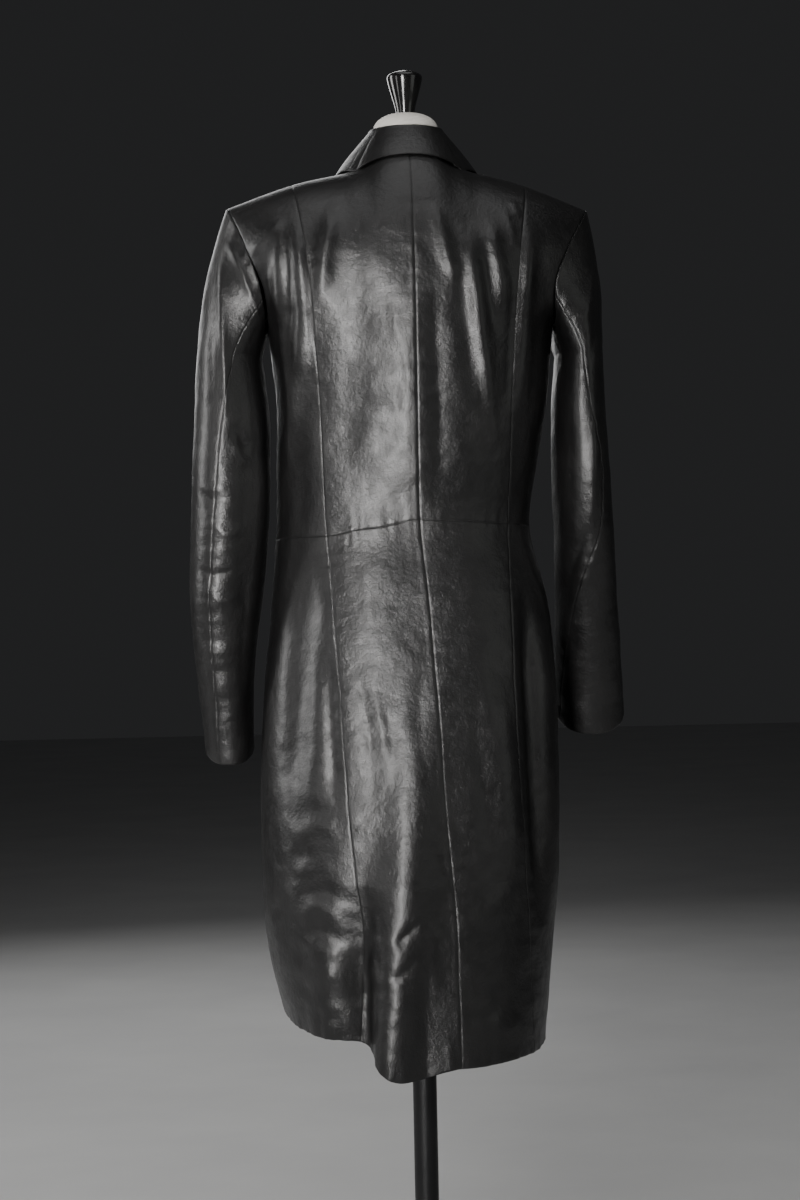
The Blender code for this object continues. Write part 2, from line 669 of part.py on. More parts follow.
def collar_fall():
    """The leaf of the collar, from its crease down and out over the neck seam."""
    grid = []
    for step in spread(0, 1, 4):
        row = []
        for angle in spread(-COLLAR_END, COLLAR_END, COLLAR_ANGLES):
            crease_radius, crease_z = (collar_value(c, angle) for c in ("crease_radius", "crease_z"))
            crease = collar_place(angle, crease_radius, crease_z)
            edge, edge_normal = collar_edge(angle)
            rising = collar_place(angle, CREASE_LEAN, 1.0).normalized()
            normal = rising.lerp(edge_normal, step).normalized()
            lift = collar_value("bulge", angle) * math.sin(math.pi * step)
            row.append((crease.lerp(edge, step) + normal * lift, normal))
        grid.append(row)
    return cloth("collar_fall", grid)


def collar_stand():
    """The band that stands up from the neck seam to the crease."""
    outer, inner = [], []
    for step in spread(0, 1, 2):
        out_row, in_row = [], []
        for angle in spread(-STAND_END, STAND_END, COLLAR_ANGLES):
            x = NECK_HALF_WIDTH * math.sin(math.radians(angle))
            foot = shoulder_z(x) + STAND_GAP
            if abs(angle) > 90:
                share = (abs(angle) - 90) / (COLLAR_END - 90)
                foot = blend(SHOULDERS[0].z, STAND_FRONT_Z, share) + STAND_GAP
            crease_radius, crease_z = (collar_value(c, angle) for c in ("crease_radius", "crease_z"))
            radius = blend(NECK_HALF_WIDTH, crease_radius - WALL, step) - STAND_SETBACK
            z = blend(foot, crease_z - WALL - STAND_SETBACK, step)
            out_row.append(collar_place(angle, radius, z))
            in_row.append(collar_place(angle, radius - WALL, z))
        outer.append(out_row)
        inner.append(in_row)
    return wall("collar_stand", outer, inner)


def turned(name, profile, finish, steps=32):
    """A turned piece from a profile of (radius, height), listed from the top down."""
    mesh = bpy.data.meshes.new(name)
    mesh.from_pydata([(r, 0, z) for r, z in profile], [(i, i + 1) for i in range(len(profile) - 1)], [])
    piece = mesh_object(name, mesh, finish)
    screw = piece.modifiers.new("turn", "SCREW")
    screw.steps = screw.render_steps = steps
    screw.use_merge_vertices = True
    screw.merge_threshold = 0.00005
    screw.use_smooth_shade = True
    return piece


def button(index, z):
    """A round button on the left front, standing through to the top of the right one."""
    p, n = front_place(1, 0.0, z)
    form = bmesh.new()
    radii = {"radius1": BUTTON_RADIUS, "radius2": BUTTON_RADIUS}
    bmesh.ops.create_cone(form, cap_ends=True, segments=16, depth=BUTTON_THICKNESS, **radii)
    rims = [e for e in form.edges if abs(e.verts[0].co.z - e.verts[1].co.z) < 1e-6]
    bmesh.ops.bevel(form, geom=rims, offset=BUTTON_EDGE, segments=2, affect="EDGES", clamp_overlap=True)
    mesh = bpy.data.meshes.new(f"button_{index}")
    form.to_mesh(mesh)
    form.free()
    piece = mesh_object(f"button_{index}", mesh, BLACK_HORN)
    piece.location = p + n * (BUTTON_THICKNESS / 2 + BUTTON_GAP)
    piece.rotation_mode = "QUATERNION"
    piece.rotation_quaternion = n.to_track_quat("Z", "Y")


def form_ring(row, count=28):
    ring = []
    power = 2 / row.roundness
    for i in range(count):
        turn = 2 * math.pi * i / count
        cosine, sine = math.cos(turn), math.sin(turn)
        x = row.half_width * math.copysign(abs(sine) ** power, sine)
        y = (row.back if cosine > 0 else row.front) * -math.copysign(abs(cosine) ** power, cosine)
        ring.append(Vector((x, y, row.z)))
    return ring


def dress_form():
    """The torso and neck of the form, closed at the hips and at the top of the neck."""
    rows = list(FORMS)
    for shoulder in FORM_SHOULDERS:
        drop = (WALL + FORM_REST_GAP) / upper_normal(shoulder.x, 1.0, 1).z
        rows.append(Form(shoulder_z(shoulder.x) - drop, *shoulder, FORM_SHOULDER_ROUNDNESS))
    rows += FORM_NECKS
    form = bmesh.new()
    rings = [[form.verts.new(p) for p in form_ring(row)] for row in rows]
    count = len(rings[0])
    for a, b in zip(rings, rings[1:]):
        for j in range(count):
            k = (j + 1) % count
            form.faces.new((a[j], a[k], b[k], b[j]))
    form.faces.new(rings[0])
    form.faces.new(rings[-1])
    bmesh.ops.recalc_face_normals(form, faces=form.faces)
    mesh = bpy.data.meshes.new("form_torso")
    form.to_mesh(mesh)
    form.free()
    return mesh_object("form_torso", mesh, WHITE_JERSEY)


def stand():
    """The cap and knob above the neck, and the pole, socket and base below the form."""
    top = KNOB_BOTTOM_Z - REST_GAP
    foot = NECK_TOP_Z + REST_GAP
    dome = [(0.0, top)]
    for i in range(DOME_STEPS + 1):
        turn = math.pi / 2 * i / DOME_STEPS
        radius = KNOB_SEAT_RADIUS + (CAP_RADIUS - KNOB_SEAT_RADIUS) * math.sin(turn)
        dome.append((radius, foot + (top - foot) * math.cos(turn)))
    turned("neck_cap", dome + [(0.0, foot)], WHITE_JERSEY)
    knob = [(row.radius, KNOB_BOTTOM_Z + row.height) for row in KNOBS]
    turned("knob", [(0.0, knob[0][1])] + knob + [(0.0, KNOB_BOTTOM_Z)], BLACK_LACQUER)
    socket_top = BASE_THICKNESS + SOCKET_HEIGHT
    rod("pole", POLE_RADIUS, FORMS[0].z - REST_GAP, socket_top + REST_GAP, 0.0)
    rod("pole_socket", SOCKET_RADIUS, socket_top, BASE_THICKNESS + REST_GAP, STAND_EDGE)
    rod("base", BASE_RADIUS, BASE_THICKNESS, 0.0, STAND_EDGE, steps=48)


def rod(name, radius, top, foot, edge, steps=32):
    """A round steel piece of the stand with a sloping top edge, which may be nought."""
    rim = [(radius - edge, top), (radius, top - edge)] if edge else [(radius, top)]
    turned(name, [(0.0, top)] + rim + [(radius, foot), (0.0, foot)], BLACK_STEEL, steps)


def coat():
    """Every cut piece of the coat."""
    back_bodice("back_center_left", "seam_left", "seam_mid", 6)
    back_bodice("back_center_right", "seam_mid", "seam_right", 6)
    back_bodice("back_side_left", -SIDE_ANGLE, "seam_left", 6)
    back_bodice("back_side_right", "seam_right", SIDE_ANGLE, 6)
    skirt("skirt_center_left", "seam_left", "seam_mid", 8)
    skirt("skirt_center_right", "seam_mid", "seam_right", 6)
    skirt("skirt_side_left", -SIDE_ANGLE, "seam_left", 8)
    skirt("skirt_side_right", "seam_right", SIDE_ANGLE, 8)
    for side in SIDES:
        front_panel(side)
        lapel(side)
        sleeve_piece(f"sleeve_top_{side}", side, True, 11)
        sleeve_piece(f"sleeve_under_{side}", side, False, 9)
    collar_stand()
    collar_fall()
    for index, row in enumerate(BUTTON_ROWS, 1):
        button(index, blend(FRONT_HEM_Z, UNDERARM_Z, row / FRONT_ROWS))


for old in list(bpy.data.objects):
    bpy.data.objects.remove(old)
COLLECTION = bpy.data.collections.new("leather_coat_on_form")
bpy.context.scene.collection.children.link(COLLECTION)
coat()
dress_form()
stand()
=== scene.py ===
"""A black leather coat hanging on a dress form, seen from behind in soft studio light.

Metres, +Z up, the back of the coat at -Y. Every cloth piece is a thin closed shell on the form of its
solid, with the creases, puckers and sunk seams that the hanging leather shows.
"""

import math
from collections import namedtuple

import bmesh
import bpy
import numpy as np
from mathutils import Matrix, Vector, noise


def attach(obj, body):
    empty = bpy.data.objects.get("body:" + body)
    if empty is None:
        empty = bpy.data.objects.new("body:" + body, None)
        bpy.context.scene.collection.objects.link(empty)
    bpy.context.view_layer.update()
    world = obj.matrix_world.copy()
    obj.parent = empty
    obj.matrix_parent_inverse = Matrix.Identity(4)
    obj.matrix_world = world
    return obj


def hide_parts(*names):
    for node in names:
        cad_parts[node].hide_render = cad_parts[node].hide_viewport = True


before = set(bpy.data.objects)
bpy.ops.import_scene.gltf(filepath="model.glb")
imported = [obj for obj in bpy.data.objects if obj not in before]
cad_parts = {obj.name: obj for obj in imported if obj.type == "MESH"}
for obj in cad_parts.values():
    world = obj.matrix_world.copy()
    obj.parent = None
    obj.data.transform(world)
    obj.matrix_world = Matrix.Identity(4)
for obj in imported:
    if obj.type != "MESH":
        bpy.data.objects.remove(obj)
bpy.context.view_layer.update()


def table(columns, *rows):
    """Rows of a table, each with its values under the names of the columns."""
    row = namedtuple("Row", columns)
    return [row(*values) for values in rows]


# The coat's form, as in the solids
WALL = 0.002
SEAM_HALF_GAP = 0.00004
ROUNDNESS = 2.4
UNDERARM_Z = 1.262
NECK_HALF_WIDTH = 0.060
NAPE_Z = 1.461
SHOULDER_BEND = 3.0
SIDE_ANGLE = 90.0
BREAK_Z = 1.185
FRONT_OVERLAP = 0.018
OVERLAP_LIFT = 0.0032
LIFT_START_X = 0.0234
LIFT_REACH = 0.054
LAPEL_LIFT = 0.0008
FRONT_HEM_Z = 0.425
FRONT_ROWS = 17
FRONT_MIDDLE_X = 0.13
LAPEL_FOOT = {"left": 1.252, "right": 1.197}
LAPEL_TOP_Z = 1.408
GORGE_DROP = 0.028
SIDES = {"left": -1, "right": 1}
MIDDLE = (0, 0)
SLEEVE_MIDDLE = (0.215, 0.01)

SECTIONS = table(
    "z left right back front seam_left seam_mid seam_right",
    (0.390, -0.146, 0.138, 0.194, 0.150, -0.098, 0.032, 0.1205),
    (0.450, -0.162, 0.145, 0.193, 0.152, -0.093, 0.031, 0.1180),
    (0.510, -0.178, 0.151, 0.190, 0.153, -0.087, 0.030, 0.1160),
    (0.580, -0.186, 0.158, 0.186, 0.154, -0.080, 0.029, 0.1145),
    (0.700, -0.188, 0.164, 0.175, 0.153, -0.089, 0.020, 0.1080),
    (0.800, -0.184, 0.165, 0.162, 0.148, -0.095, 0.016, 0.1050),
    (0.870, -0.178, 0.162, 0.150, 0.140, -0.098, 0.012, 0.1045),
    (0.940, -0.170, 0.156, 0.137, 0.129, -0.1015, 0.008, 0.1040),
    (1.025, -0.163, 0.137, 0.120, 0.117, -0.1065, 0.001, 0.1050),
    (1.100, -0.160, 0.148, 0.125, 0.124, -0.1100, 0.000, 0.1080),
    (1.180, -0.160, 0.161, 0.132, 0.137, -0.1130, 0.000, 0.1110),
    (UNDERARM_Z, -0.169, 0.169, 0.136, 0.138, -0.1165, 0.000, 0.1165),
)

UPPERS = table(
    "share half_width princess arm_left arm_right arm_front back front",
    (0.00, 0.169, 0.1165, 0.1690, 0.1690, 0.1690, 0.136, 0.138),
    (0.14, 0.186, 0.1180, 0.1710, 0.1645, 0.1600, 0.136, 0.135),
    (0.30, 0.201, 0.1205, 0.1765, 0.1660, 0.1560, 0.134, 0.129),
    (0.52, 0.216, 0.1250, 0.1880, 0.1790, 0.1640, 0.128, 0.118),
    (0.78, 0.229, 0.1320, 0.2020, 0.1970, 0.1880, 0.116, 0.104),
    (1.00, 0.236, 0.1380, 0.2140, 0.2120, 0.2130, 0.100, 0.092),
)
ARM_COLUMNS = {-1: "arm_left", 1: "arm_right"}

SHOULDERS = table(
    "x z right_drop",
    (0.060, 1.4470, 0.0),
    (0.095, 1.4410, 0.001),
    (0.137, 1.4320, 0.004),
    (0.214, 1.4060, 0.008),
)

# Height of the waist seam and of the hem at six places across the back
WAIST, HEM = table(
    "left_side left_seam left_middle middle right_seam right_side",
    (1.014, 1.0155, 1.0230, 1.031, 1.0265, 1.024),
    (0.457, 0.444, 0.403, 0.415, 0.419, 0.424),
)

# The large folds of the solids: ridges, or troughs where the height is negative
FOLD_COLUMNS = "x_top z_top x_low z_low half_width height"
BACK_FOLDS = table(
    FOLD_COLUMNS,
    (-0.154, 1.385, -0.149, 1.150, 0.0080, 0.0042),
    (-0.137, 1.390, -0.129, 1.200, 0.0100, 0.0045),
    (-0.124, 1.285, -0.158, 1.060, 0.0100, 0.0036),
    (-0.091, 1.400, -0.110, 1.285, 0.0100, 0.0036),
    (0.023, 1.395, 0.048, 1.295, 0.0090, 0.0032),
    (0.060, 1.375, 0.087, 1.150, 0.0110, 0.0042),
    (0.089, 1.375, 0.106, 1.270, 0.0090, 0.0032),
    (0.1385, 1.375, 0.121, 1.150, 0.0085, 0.0045),
    (-0.124, 1.010, -0.156, 0.690, 0.0170, -0.0060),
    (-0.110, 0.900, -0.104, 0.690, 0.0100, -0.0032),
    (-0.001, 0.860, -0.052, 0.380, 0.0290, 0.0150),
    (-0.080, 0.620, -0.088, 0.380, 0.0200, -0.0260),
    (0.087, 0.830, 0.101, 0.620, 0.0140, 0.0045),
    (0.122, 0.960, 0.1315, 0.560, 0.0100, -0.0100),
    (0.145, 0.960, 0.152, 0.560, 0.0100, 0.0050),
)
FRONT_FOLDS = table(
    FOLD_COLUMNS,
    (-0.120, 1.330, -0.105, 1.120, 0.0120, 0.0050),
    (0.120, 1.330, 0.108, 1.110, 0.0120, 0.0050),
    (-0.075, 0.960, -0.105, 0.400, 0.0200, 0.0090),
    (0.080, 0.960, 0.100, 0.400, 0.0200, 0.0090),
    (-0.128, 0.940, -0.145, 0.480, 0.0120, -0.0070),
    (0.122, 0.940, 0.138, 0.480, 0.0120, -0.0070),
)

SLEEVE_COLUMNS = "z outer inner middle half_depth hind_seam"
SLEEVES = {
    "left": table(
        SLEEVE_COLUMNS,
        (1.228, 0.2530, 0.1760, -0.008, 0.074, 97),
        (1.160, 0.2575, 0.1690, -0.012, 0.071, 80),
        (1.087, 0.2615, 0.1690, -0.016, 0.067, 72),
        (1.015, 0.2640, 0.1730, -0.014, 0.064, 67),
        (0.944, 0.2665, 0.1815, -0.004, 0.061, 66),
        (0.873, 0.2625, 0.1915, 0.012, 0.057, 69),
        (0.820, 0.2575, 0.1945, 0.026, 0.054, 72),
        (0.766, 0.2525, 0.1945, 0.038, 0.052, 66),
    ),
    "right": table(
        SLEEVE_COLUMNS,
        (1.228, 0.2265, 0.1740, -0.006, 0.076, 96),
        (1.160, 0.2285, 0.1670, -0.012, 0.073, 80),
        (1.087, 0.2325, 0.1660, -0.014, 0.068, 60),
        (1.025, 0.2370, 0.1680, -0.004, 0.063, 70),
        (0.965, 0.2430, 0.1710, 0.020, 0.057, 108),
        (0.905, 0.2490, 0.1730, 0.046, 0.053, 136),
        (0.855, 0.2545, 0.1730, 0.068, 0.050, 148),
        (0.806, 0.2590, 0.1720, 0.086, 0.048, 150),
    ),
}
SLEEVE_ROUNDNESS = 2.3
SLEEVE_SLANT = 0.36
ARMHOLE_SETBACK = 0.0011
FORE_SEAM_ANGLE = -112.0
HIND_SEAM_AT_ARMHOLE = 128
CAP_EASE = 0.007
CAP_DROP_TOP = 1.0
CAP_DROP_UNDER = 0.8

COLLARS = table(
    "angle crease_radius crease_z leaf_radius bulge",
    (0, 0.0500, 1.4945, 0.0790, 0.0010),
    (40, 0.0485, 1.4945, 0.0795, 0.0012),
    (80, 0.0460, 1.4935, 0.0815, 0.0015),
    (115, 0.0490, 1.4800, 0.0870, 0.0050),
    (140, 0.0570, 1.4620, 0.0930, 0.0120),
)
COLLAR_END = 140
COLLAR_REST_GAP = 0.0014
COLLAR_ROLL = 0.0022
CREASE_LEAN = 0.4
STAND_FRONT_Z = 1.436
STAND_END = 136
STAND_GAP = 0.0015
STAND_SETBACK = 0.0009
LEAF_LENGTH = 0.36
LEAF_WIDTH = 0.045
LEAF_SPACING = 0.0015
LEAF_SPACING_DOWN = 0.002
ROLL_STEPS = 8
STAND_LENGTH = 0.3
STAND_HEIGHT = 0.04
STAND_SPACING = 0.003
SEARCH_LOW = 0.5
SEARCH_STEPS = 24
SEARCH_RISE = 0.02

LAPELS = table(
    "z edge_x",
    (1.190, 0.012),
    (1.250, 0.050),
    (1.310, 0.088),
    (1.355, 0.112),
    (1.380, 0.108),
    (1.408, 0.090),
)

BUTTON_ROWS = (15, 13, 11, 9)
BUTTON_RADIUS = 0.0115
BUTTON_THICKNESS = 0.0038
BUTTON_GAP = 0.0008

# Creases of the leather on top of the large folds, each along a path of (x, z)
CREASE_COLUMNS = "half_width height path"
BACK_CREASES = table(
    CREASE_COLUMNS,
    (0.0075, 0.0034, ((-0.15, 1.384), (-0.156, 1.338), (-0.158, 1.293), (-0.149, 1.215),
                      (-0.145, 1.165), (-0.156, 1.098))),
    (0.011, 0.0034, ((-0.139, 1.389), (-0.132, 1.327), (-0.128, 1.247), (-0.134, 1.208),
                      (-0.142, 1.17))),
    (0.008, -0.003, ((-0.146, 1.37), (-0.145, 1.3), (-0.14, 1.23))),
    (0.008, 0.0014, ((-0.088, 1.399), (-0.094, 1.371), (-0.104, 1.337), (-0.115, 1.26))),
    (0.0075, 0.0034, ((-0.192, 1.336), (-0.168, 1.36), (-0.146, 1.384))),
    (0.01, -0.0026, ((-0.172, 1.34), (-0.168, 1.29), (-0.163, 1.24))),
    (0.03, 0.0046, ((-0.006, 1.34), (-0.008, 1.144), (-0.008, 0.99))),
    (0.034, -0.006, ((-0.072, 1.38), (-0.068, 1.26), (-0.078, 1.14), (-0.086, 1.02))),
    (0.006, 0.001, ((-0.03, 1.3), (-0.024, 1.25), (-0.012, 1.205), (-0.008, 1.15))),
    (0.006, -0.0009, ((-0.02, 1.245), (-0.016, 1.2), (-0.018, 1.13))),
    (0.012, -0.003, ((0.02, 1.33), (0.024, 1.142), (0.024, 1.03))),
    (0.008, 0.0014, ((0.021, 1.402), (0.031, 1.363), (0.038, 1.329), (0.05, 1.29))),
    (0.008, 0.0018, ((0.058, 1.385), (0.07, 1.3), (0.076, 1.221), (0.087, 1.141), (0.094, 1.06))),
    (0.0065, 0.0013, ((0.087, 1.38), (0.093, 1.339), (0.1, 1.299), (0.104, 1.245))),
    (0.0055, 0.0014, ((0.104, 1.4), (0.113, 1.367), (0.118, 1.32))),
    (0.004, 0.0012, ((0.116, 1.402), (0.124, 1.378))),
    (0.007, 0.0018, ((0.133, 1.395), (0.134, 1.344), (0.13, 1.299), (0.121, 1.197), (0.115, 1.13))),
    (0.007, -0.0014, ((0.079, 1.356), (0.084, 1.3), (0.09, 1.23))),
    (0.007, -0.0016, ((0.115, 1.322), (0.11, 1.243), (0.104, 1.15))),
    (0.009, -0.0014, ((0.046, 1.36), (0.056, 1.27), (0.062, 1.16))),
    (0.01, -0.0016, ((-0.118, 1.005), (-0.137, 0.92), (-0.143, 0.863), (-0.146, 0.78),
                       (-0.16, 0.7))),
    (0.006, -0.0012, ((-0.108, 0.885), (-0.105, 0.772), (-0.103, 0.69))),
    (0.0026, -0.0006, ((-0.079, 1.018), (-0.083, 1.000))),
    (0.006, -0.0009, ((-0.075, 0.88), (-0.064, 0.79), (-0.06, 0.72))),
    (0.007, 0.001, ((-0.06, 0.86), (-0.05, 0.8), (-0.044, 0.74))),
    (0.007, -0.0007, ((-0.052, 0.83), (-0.04, 0.79), (-0.036, 0.75))),
    (0.011, -0.0016, ((-0.004, 0.87), (-0.008, 0.8), (0.002, 0.7))),
    (0.012, -0.0016, ((-0.158, 0.69), (-0.128, 0.705), (-0.104, 0.7))),
    (0.013, 0.0018, ((-0.156, 0.664), (-0.126, 0.688), (-0.098, 0.68))),
    (0.012, -0.0016, ((-0.16, 0.65), (-0.132, 0.656), (-0.1, 0.668))),
    (0.013, 0.0016, ((-0.154, 0.628), (-0.125, 0.64), (-0.102, 0.65))),
    (0.011, -0.0017, ((-0.158, 0.606), (-0.13, 0.612), (-0.103, 0.626))),
    (0.013, 0.002, ((-0.15, 0.572), (-0.128, 0.594), (-0.108, 0.59), (-0.09, 0.566))),
    (0.01, -0.0018, ((-0.146, 0.556), (-0.13, 0.576), (-0.112, 0.566), (-0.092, 0.545))),
    (0.016, 0.0022, ((-0.122, 0.556), (-0.114, 0.53), (-0.11, 0.5))),
    (0.01, -0.0034, ((-0.146, 0.565), (-0.148, 0.479))),
    (0.01, -0.0014, ((-0.134, 0.5), (-0.112, 0.49), (-0.09, 0.494))),
    (0.0035, -0.0016, ((-0.146, 0.496), (-0.14, 0.44))),
    (0.0035, -0.0016, ((-0.128, 0.486), (-0.123, 0.435))),
    (0.0035, -0.0014, ((-0.107, 0.482), (-0.106, 0.43))),
    (0.007, -0.0026, ((-0.072, 0.62), (-0.064, 0.54), (-0.055, 0.505))),
    (0.006, -0.003, ((-0.044, 0.552), (-0.028, 0.568), (-0.01, 0.582))),
    (0.006, -0.0024, ((-0.05, 0.512), (-0.034, 0.525), (-0.016, 0.54))),
    (0.013, 0.001, ((-0.048, 0.59), (-0.042, 0.545), (-0.046, 0.5))),
    (0.011, -0.0026, ((-0.006, 0.535), (-0.01, 0.46), (-0.008, 0.38))),
    (0.008, 0.0014, ((0.004, 0.6), (0.000, 0.54), (0.006, 0.48))),
    (0.006, 0.001, ((0.016, 0.455), (0.022, 0.39))),
    (0.016, 0.002, ((0.06, 0.92), (0.076, 0.78), (0.086, 0.689), (0.104, 0.58))),
    (0.008, -0.0012, ((0.052, 0.82), (0.066, 0.7), (0.07, 0.6))),
    (0.012, 0.0012, ((0.06, 0.47), (0.086, 0.455), (0.105, 0.47))),
    (0.007, -0.0018, ((0.122, 0.96), (0.128, 0.78), (0.13, 0.6))),
)
FRONT_CREASES = table(
    CREASE_COLUMNS,
    (0.007, -0.002, ((-0.15, 1.24), (-0.12, 1.215), (-0.085, 1.205))),
    (0.007, -0.002, ((0.15, 1.245), (0.115, 1.222), (0.08, 1.21))),
    (0.006, 0.0016, ((-0.15, 1.21), (-0.115, 1.18), (-0.07, 1.165))),
    (0.006, 0.0016, ((0.148, 1.205), (0.112, 1.17), (0.07, 1.16))),
    (0.006, -0.002, ((-0.14, 1.05), (-0.1, 1.032), (-0.05, 1.028))),
    (0.006, -0.002, ((0.13, 1.04), (0.095, 1.024), (0.05, 1.022))),
    (0.0055, 0.0016, ((-0.138, 1.018), (-0.1, 1.006), (-0.06, 1.000))),
    (0.0055, 0.0016, ((0.126, 1.012), (0.092, 1.000), (0.06, 0.996))),
    (0.01, -0.003, ((-0.045, 0.96), (-0.06, 0.76), (-0.07, 0.56))),
    (0.01, -0.003, ((0.05, 0.96), (0.062, 0.74), (0.066, 0.54))),
    (0.007, -0.002, ((-0.14, 0.64), (-0.115, 0.6), (-0.085, 0.585))),
    (0.007, 0.002, ((0.12, 0.62), (0.095, 0.58), (0.065, 0.565))),
)
SLEEVE_CREASES = table(
    CREASE_COLUMNS,
    (0.006, 0.0038, ((-0.218, 1.376), (-0.222, 1.33), (-0.222, 1.261), (-0.219, 1.2),
                      (-0.221, 1.13))),
    (0.0052, -0.0011, ((-0.231, 1.32), (-0.236, 1.23), (-0.236, 1.13))),
    (0.026, -0.0095, ((-0.2, 1.35), (-0.197, 1.2), (-0.192, 1.08), (-0.196, 0.98),
                       (-0.206, 0.86), (-0.208, 0.77))),
    (0.0045, 0.0022, ((-0.217, 1.367), (-0.206, 1.345), (-0.197, 1.322), (-0.184, 1.285))),
    (0.006, -0.0024, ((-0.214, 1.15), (-0.196, 1.128), (-0.18, 1.122))),
    (0.0055, 0.002, ((-0.212, 1.128), (-0.198, 1.105), (-0.182, 1.1))),
    (0.005, -0.0018, ((-0.258, 1.075), (-0.24, 1.06), (-0.215, 1.058))),
    (0.006, 0.0018, ((-0.25, 1.04), (-0.222, 1.02), (-0.19, 1.026))),
    (0.005, -0.002, ((-0.262, 0.985), (-0.24, 0.972), (-0.205, 0.978))),
    (0.005, 0.0016, ((-0.25, 0.95), (-0.225, 0.942), (-0.2, 0.95))),
    (0.0052, -0.0011, ((-0.262, 0.905), (-0.24, 0.894), (-0.21, 0.898))),
    (0.0052, 0.001, ((-0.258, 0.888), (-0.238, 0.88), (-0.208, 0.886))),
    (0.0048, -0.001, ((-0.258, 0.866), (-0.236, 0.86), (-0.205, 0.868))),
    (0.0048, 0.0008, ((-0.254, 0.848), (-0.234, 0.842), (-0.206, 0.85))),
    (0.0048, -0.0009, ((-0.252, 0.828), (-0.232, 0.824), (-0.206, 0.83))),
    (0.0048, 0.0007, ((-0.25, 0.806), (-0.232, 0.803), (-0.206, 0.81))),
    (0.006, 0.0026, ((0.207, 1.18), (0.207, 1.105), (0.203, 1.02), (0.196, 0.99))),
    (0.007, -0.004, ((0.207, 1.035), (0.18, 0.965), (0.158, 0.905))),
    (0.007, 0.0022, ((0.216, 1.01), (0.196, 0.95), (0.17, 0.9))),
    (0.016, -0.004, ((0.178, 1.19), (0.174, 1.08), (0.172, 0.98))),
    (0.005, 0.0018, ((0.214, 1.33), (0.208, 1.29), (0.198, 1.25))),
    (0.006, -0.002, ((0.222, 1.29), (0.212, 1.24), (0.202, 1.2))),
    (0.0057, -0.001, ((0.245, 0.93), (0.222, 0.918), (0.196, 0.92))),
    (0.0057, 0.0008, ((0.246, 0.905), (0.224, 0.893), (0.198, 0.892))),
    (0.0052, -0.0008, ((0.25, 0.87), (0.226, 0.862), (0.196, 0.86))),
    (0.0052, 0.0007, ((0.254, 0.842), (0.23, 0.834), (0.2, 0.832))),
    (0.0052, -0.0008, ((0.256, 0.815), (0.232, 0.808), (0.204, 0.806))),
)

# Places where the leather is crumpled all over: middle, half sizes across and up, and height
CRUMPLES = table(
    "x z half_width half_height height",
    (-0.130, 0.610, 0.050, 0.100, 0.0020),
    (-0.120, 0.470, 0.050, 0.060, 0.0014),
    (-0.020, 0.520, 0.045, 0.080, 0.0012),
    (-0.020, 1.180, 0.045, 0.150, 0.0010),
    (-0.050, 0.780, 0.040, 0.120, 0.0010),
    (0.070, 0.560, 0.060, 0.140, 0.0009),
)
CRUMPLE_SCALE = (34.0, 34.0, 52.0)

# A piece's four edges on its grid, the lines beside them, and edges with nothing special
EDGES = {"first": np.s_[:, 0], "last": np.s_[:, -1], "top": np.s_[0], "bottom": np.s_[-1]}
BESIDE_EDGES = (np.s_[:, 1], np.s_[:, -2], np.s_[1], np.s_[-2])
PLAIN = (0, 0, 0, 0)

# The shells' grid: even steps inside a panel, short ones beside its edges
SPACING = 0.0026
LENGTH_STEPS = 2001
EDGE_STEPS = np.array([0.0, 0.0006, 0.0013, 0.0021, 0.0032, 0.0048])

# The leather's relief: sunk seam edges with a lip, swells, puckers, shirring, and the creases' profile
GROOVE_DEPTH = 0.0005
GROOVE_WIDTH = 0.0011
LIP_HEIGHT = 0.0003
LIP_PLACE = 0.0040
LIP_WIDTH = 0.0014
FACING_GAIN = 1.7
CALM_HALF_WIDTH = 0.03
CALM_TOP_Z = 1.40
CALM_RISE = 0.06
SWELLS = ((24.0, 0.0011), (75.0, 0.00035))
PUCKER_REACH = 0.013
PUCKER_SCALE = 95.0
SHIRR_REACH = 0.0045
SHIRR_SCALE = 330.0
SHIRR_PART = 3
FOLD_FADE = 4
HEM_FOLD_FADE = 2
CREASE_FADE = 3
CREST = 0.9
CREST_NARROWING = 0.62

# Bends of the form that the cloth rounds off: at the level of the underarm and beside the neck
EASE_STEPS = 8
EASE_HEIGHT = 0.045
EASE_FADE = 0.016
NECK_EASE_WIDTH = 0.020
NECK_EASE_Z = 1.350
NECK_EASE_RISE = 0.040


def value(rows, key, name, at):
    """A column of a table at any keys, on a smooth curve through its rows."""
    keys = np.array([getattr(row, key) for row in rows])
    values = np.array([getattr(row, name) for row in rows])
    if keys[0] > keys[-1]:
        keys, values = keys[::-1], values[::-1]
    at = np.clip(at, keys[0], keys[-1])
    i = np.clip(np.searchsorted(keys, at, side="right") - 1, 0, len(keys) - 2)
    rises = np.diff(values) / np.diff(keys)
    inner = (values[2:] - values[:-2]) / (keys[2:] - keys[:-2])
    slopes = np.concatenate([rises[:1], inner, rises[-1:]])
    span = np.diff(keys)[i]
    t = (at - keys[i]) / span
    a, b, d = slopes[i] * span, slopes[i + 1] * span, np.diff(values)[i]
    return values[i] + a * t + (3 * d - 2 * a - b) * t**2 + (a + b - 2 * d) * t**3


def blend(a, b, share):
    return a + (b - a) * share


def smooth(t):
    t = np.clip(t, 0, 1)
    return t * t * (3 - 2 * t)


def bell(distance, width):
    return np.exp(-((distance / width) ** 2))


def crest(distance, width):
    """A pinched fold's profile: steep near its top and spreading slowly below."""
    reach = distance / (CREST_NARROWING * width)
    return np.exp(CREST - np.sqrt(reach**2 + CREST**2))


def unit(vectors):
    return vectors / np.maximum(np.linalg.norm(vectors, axis=-1, keepdims=True), 1e-12)


def stacked(*columns):
    return np.stack(np.broadcast_arrays(*columns), axis=-1)


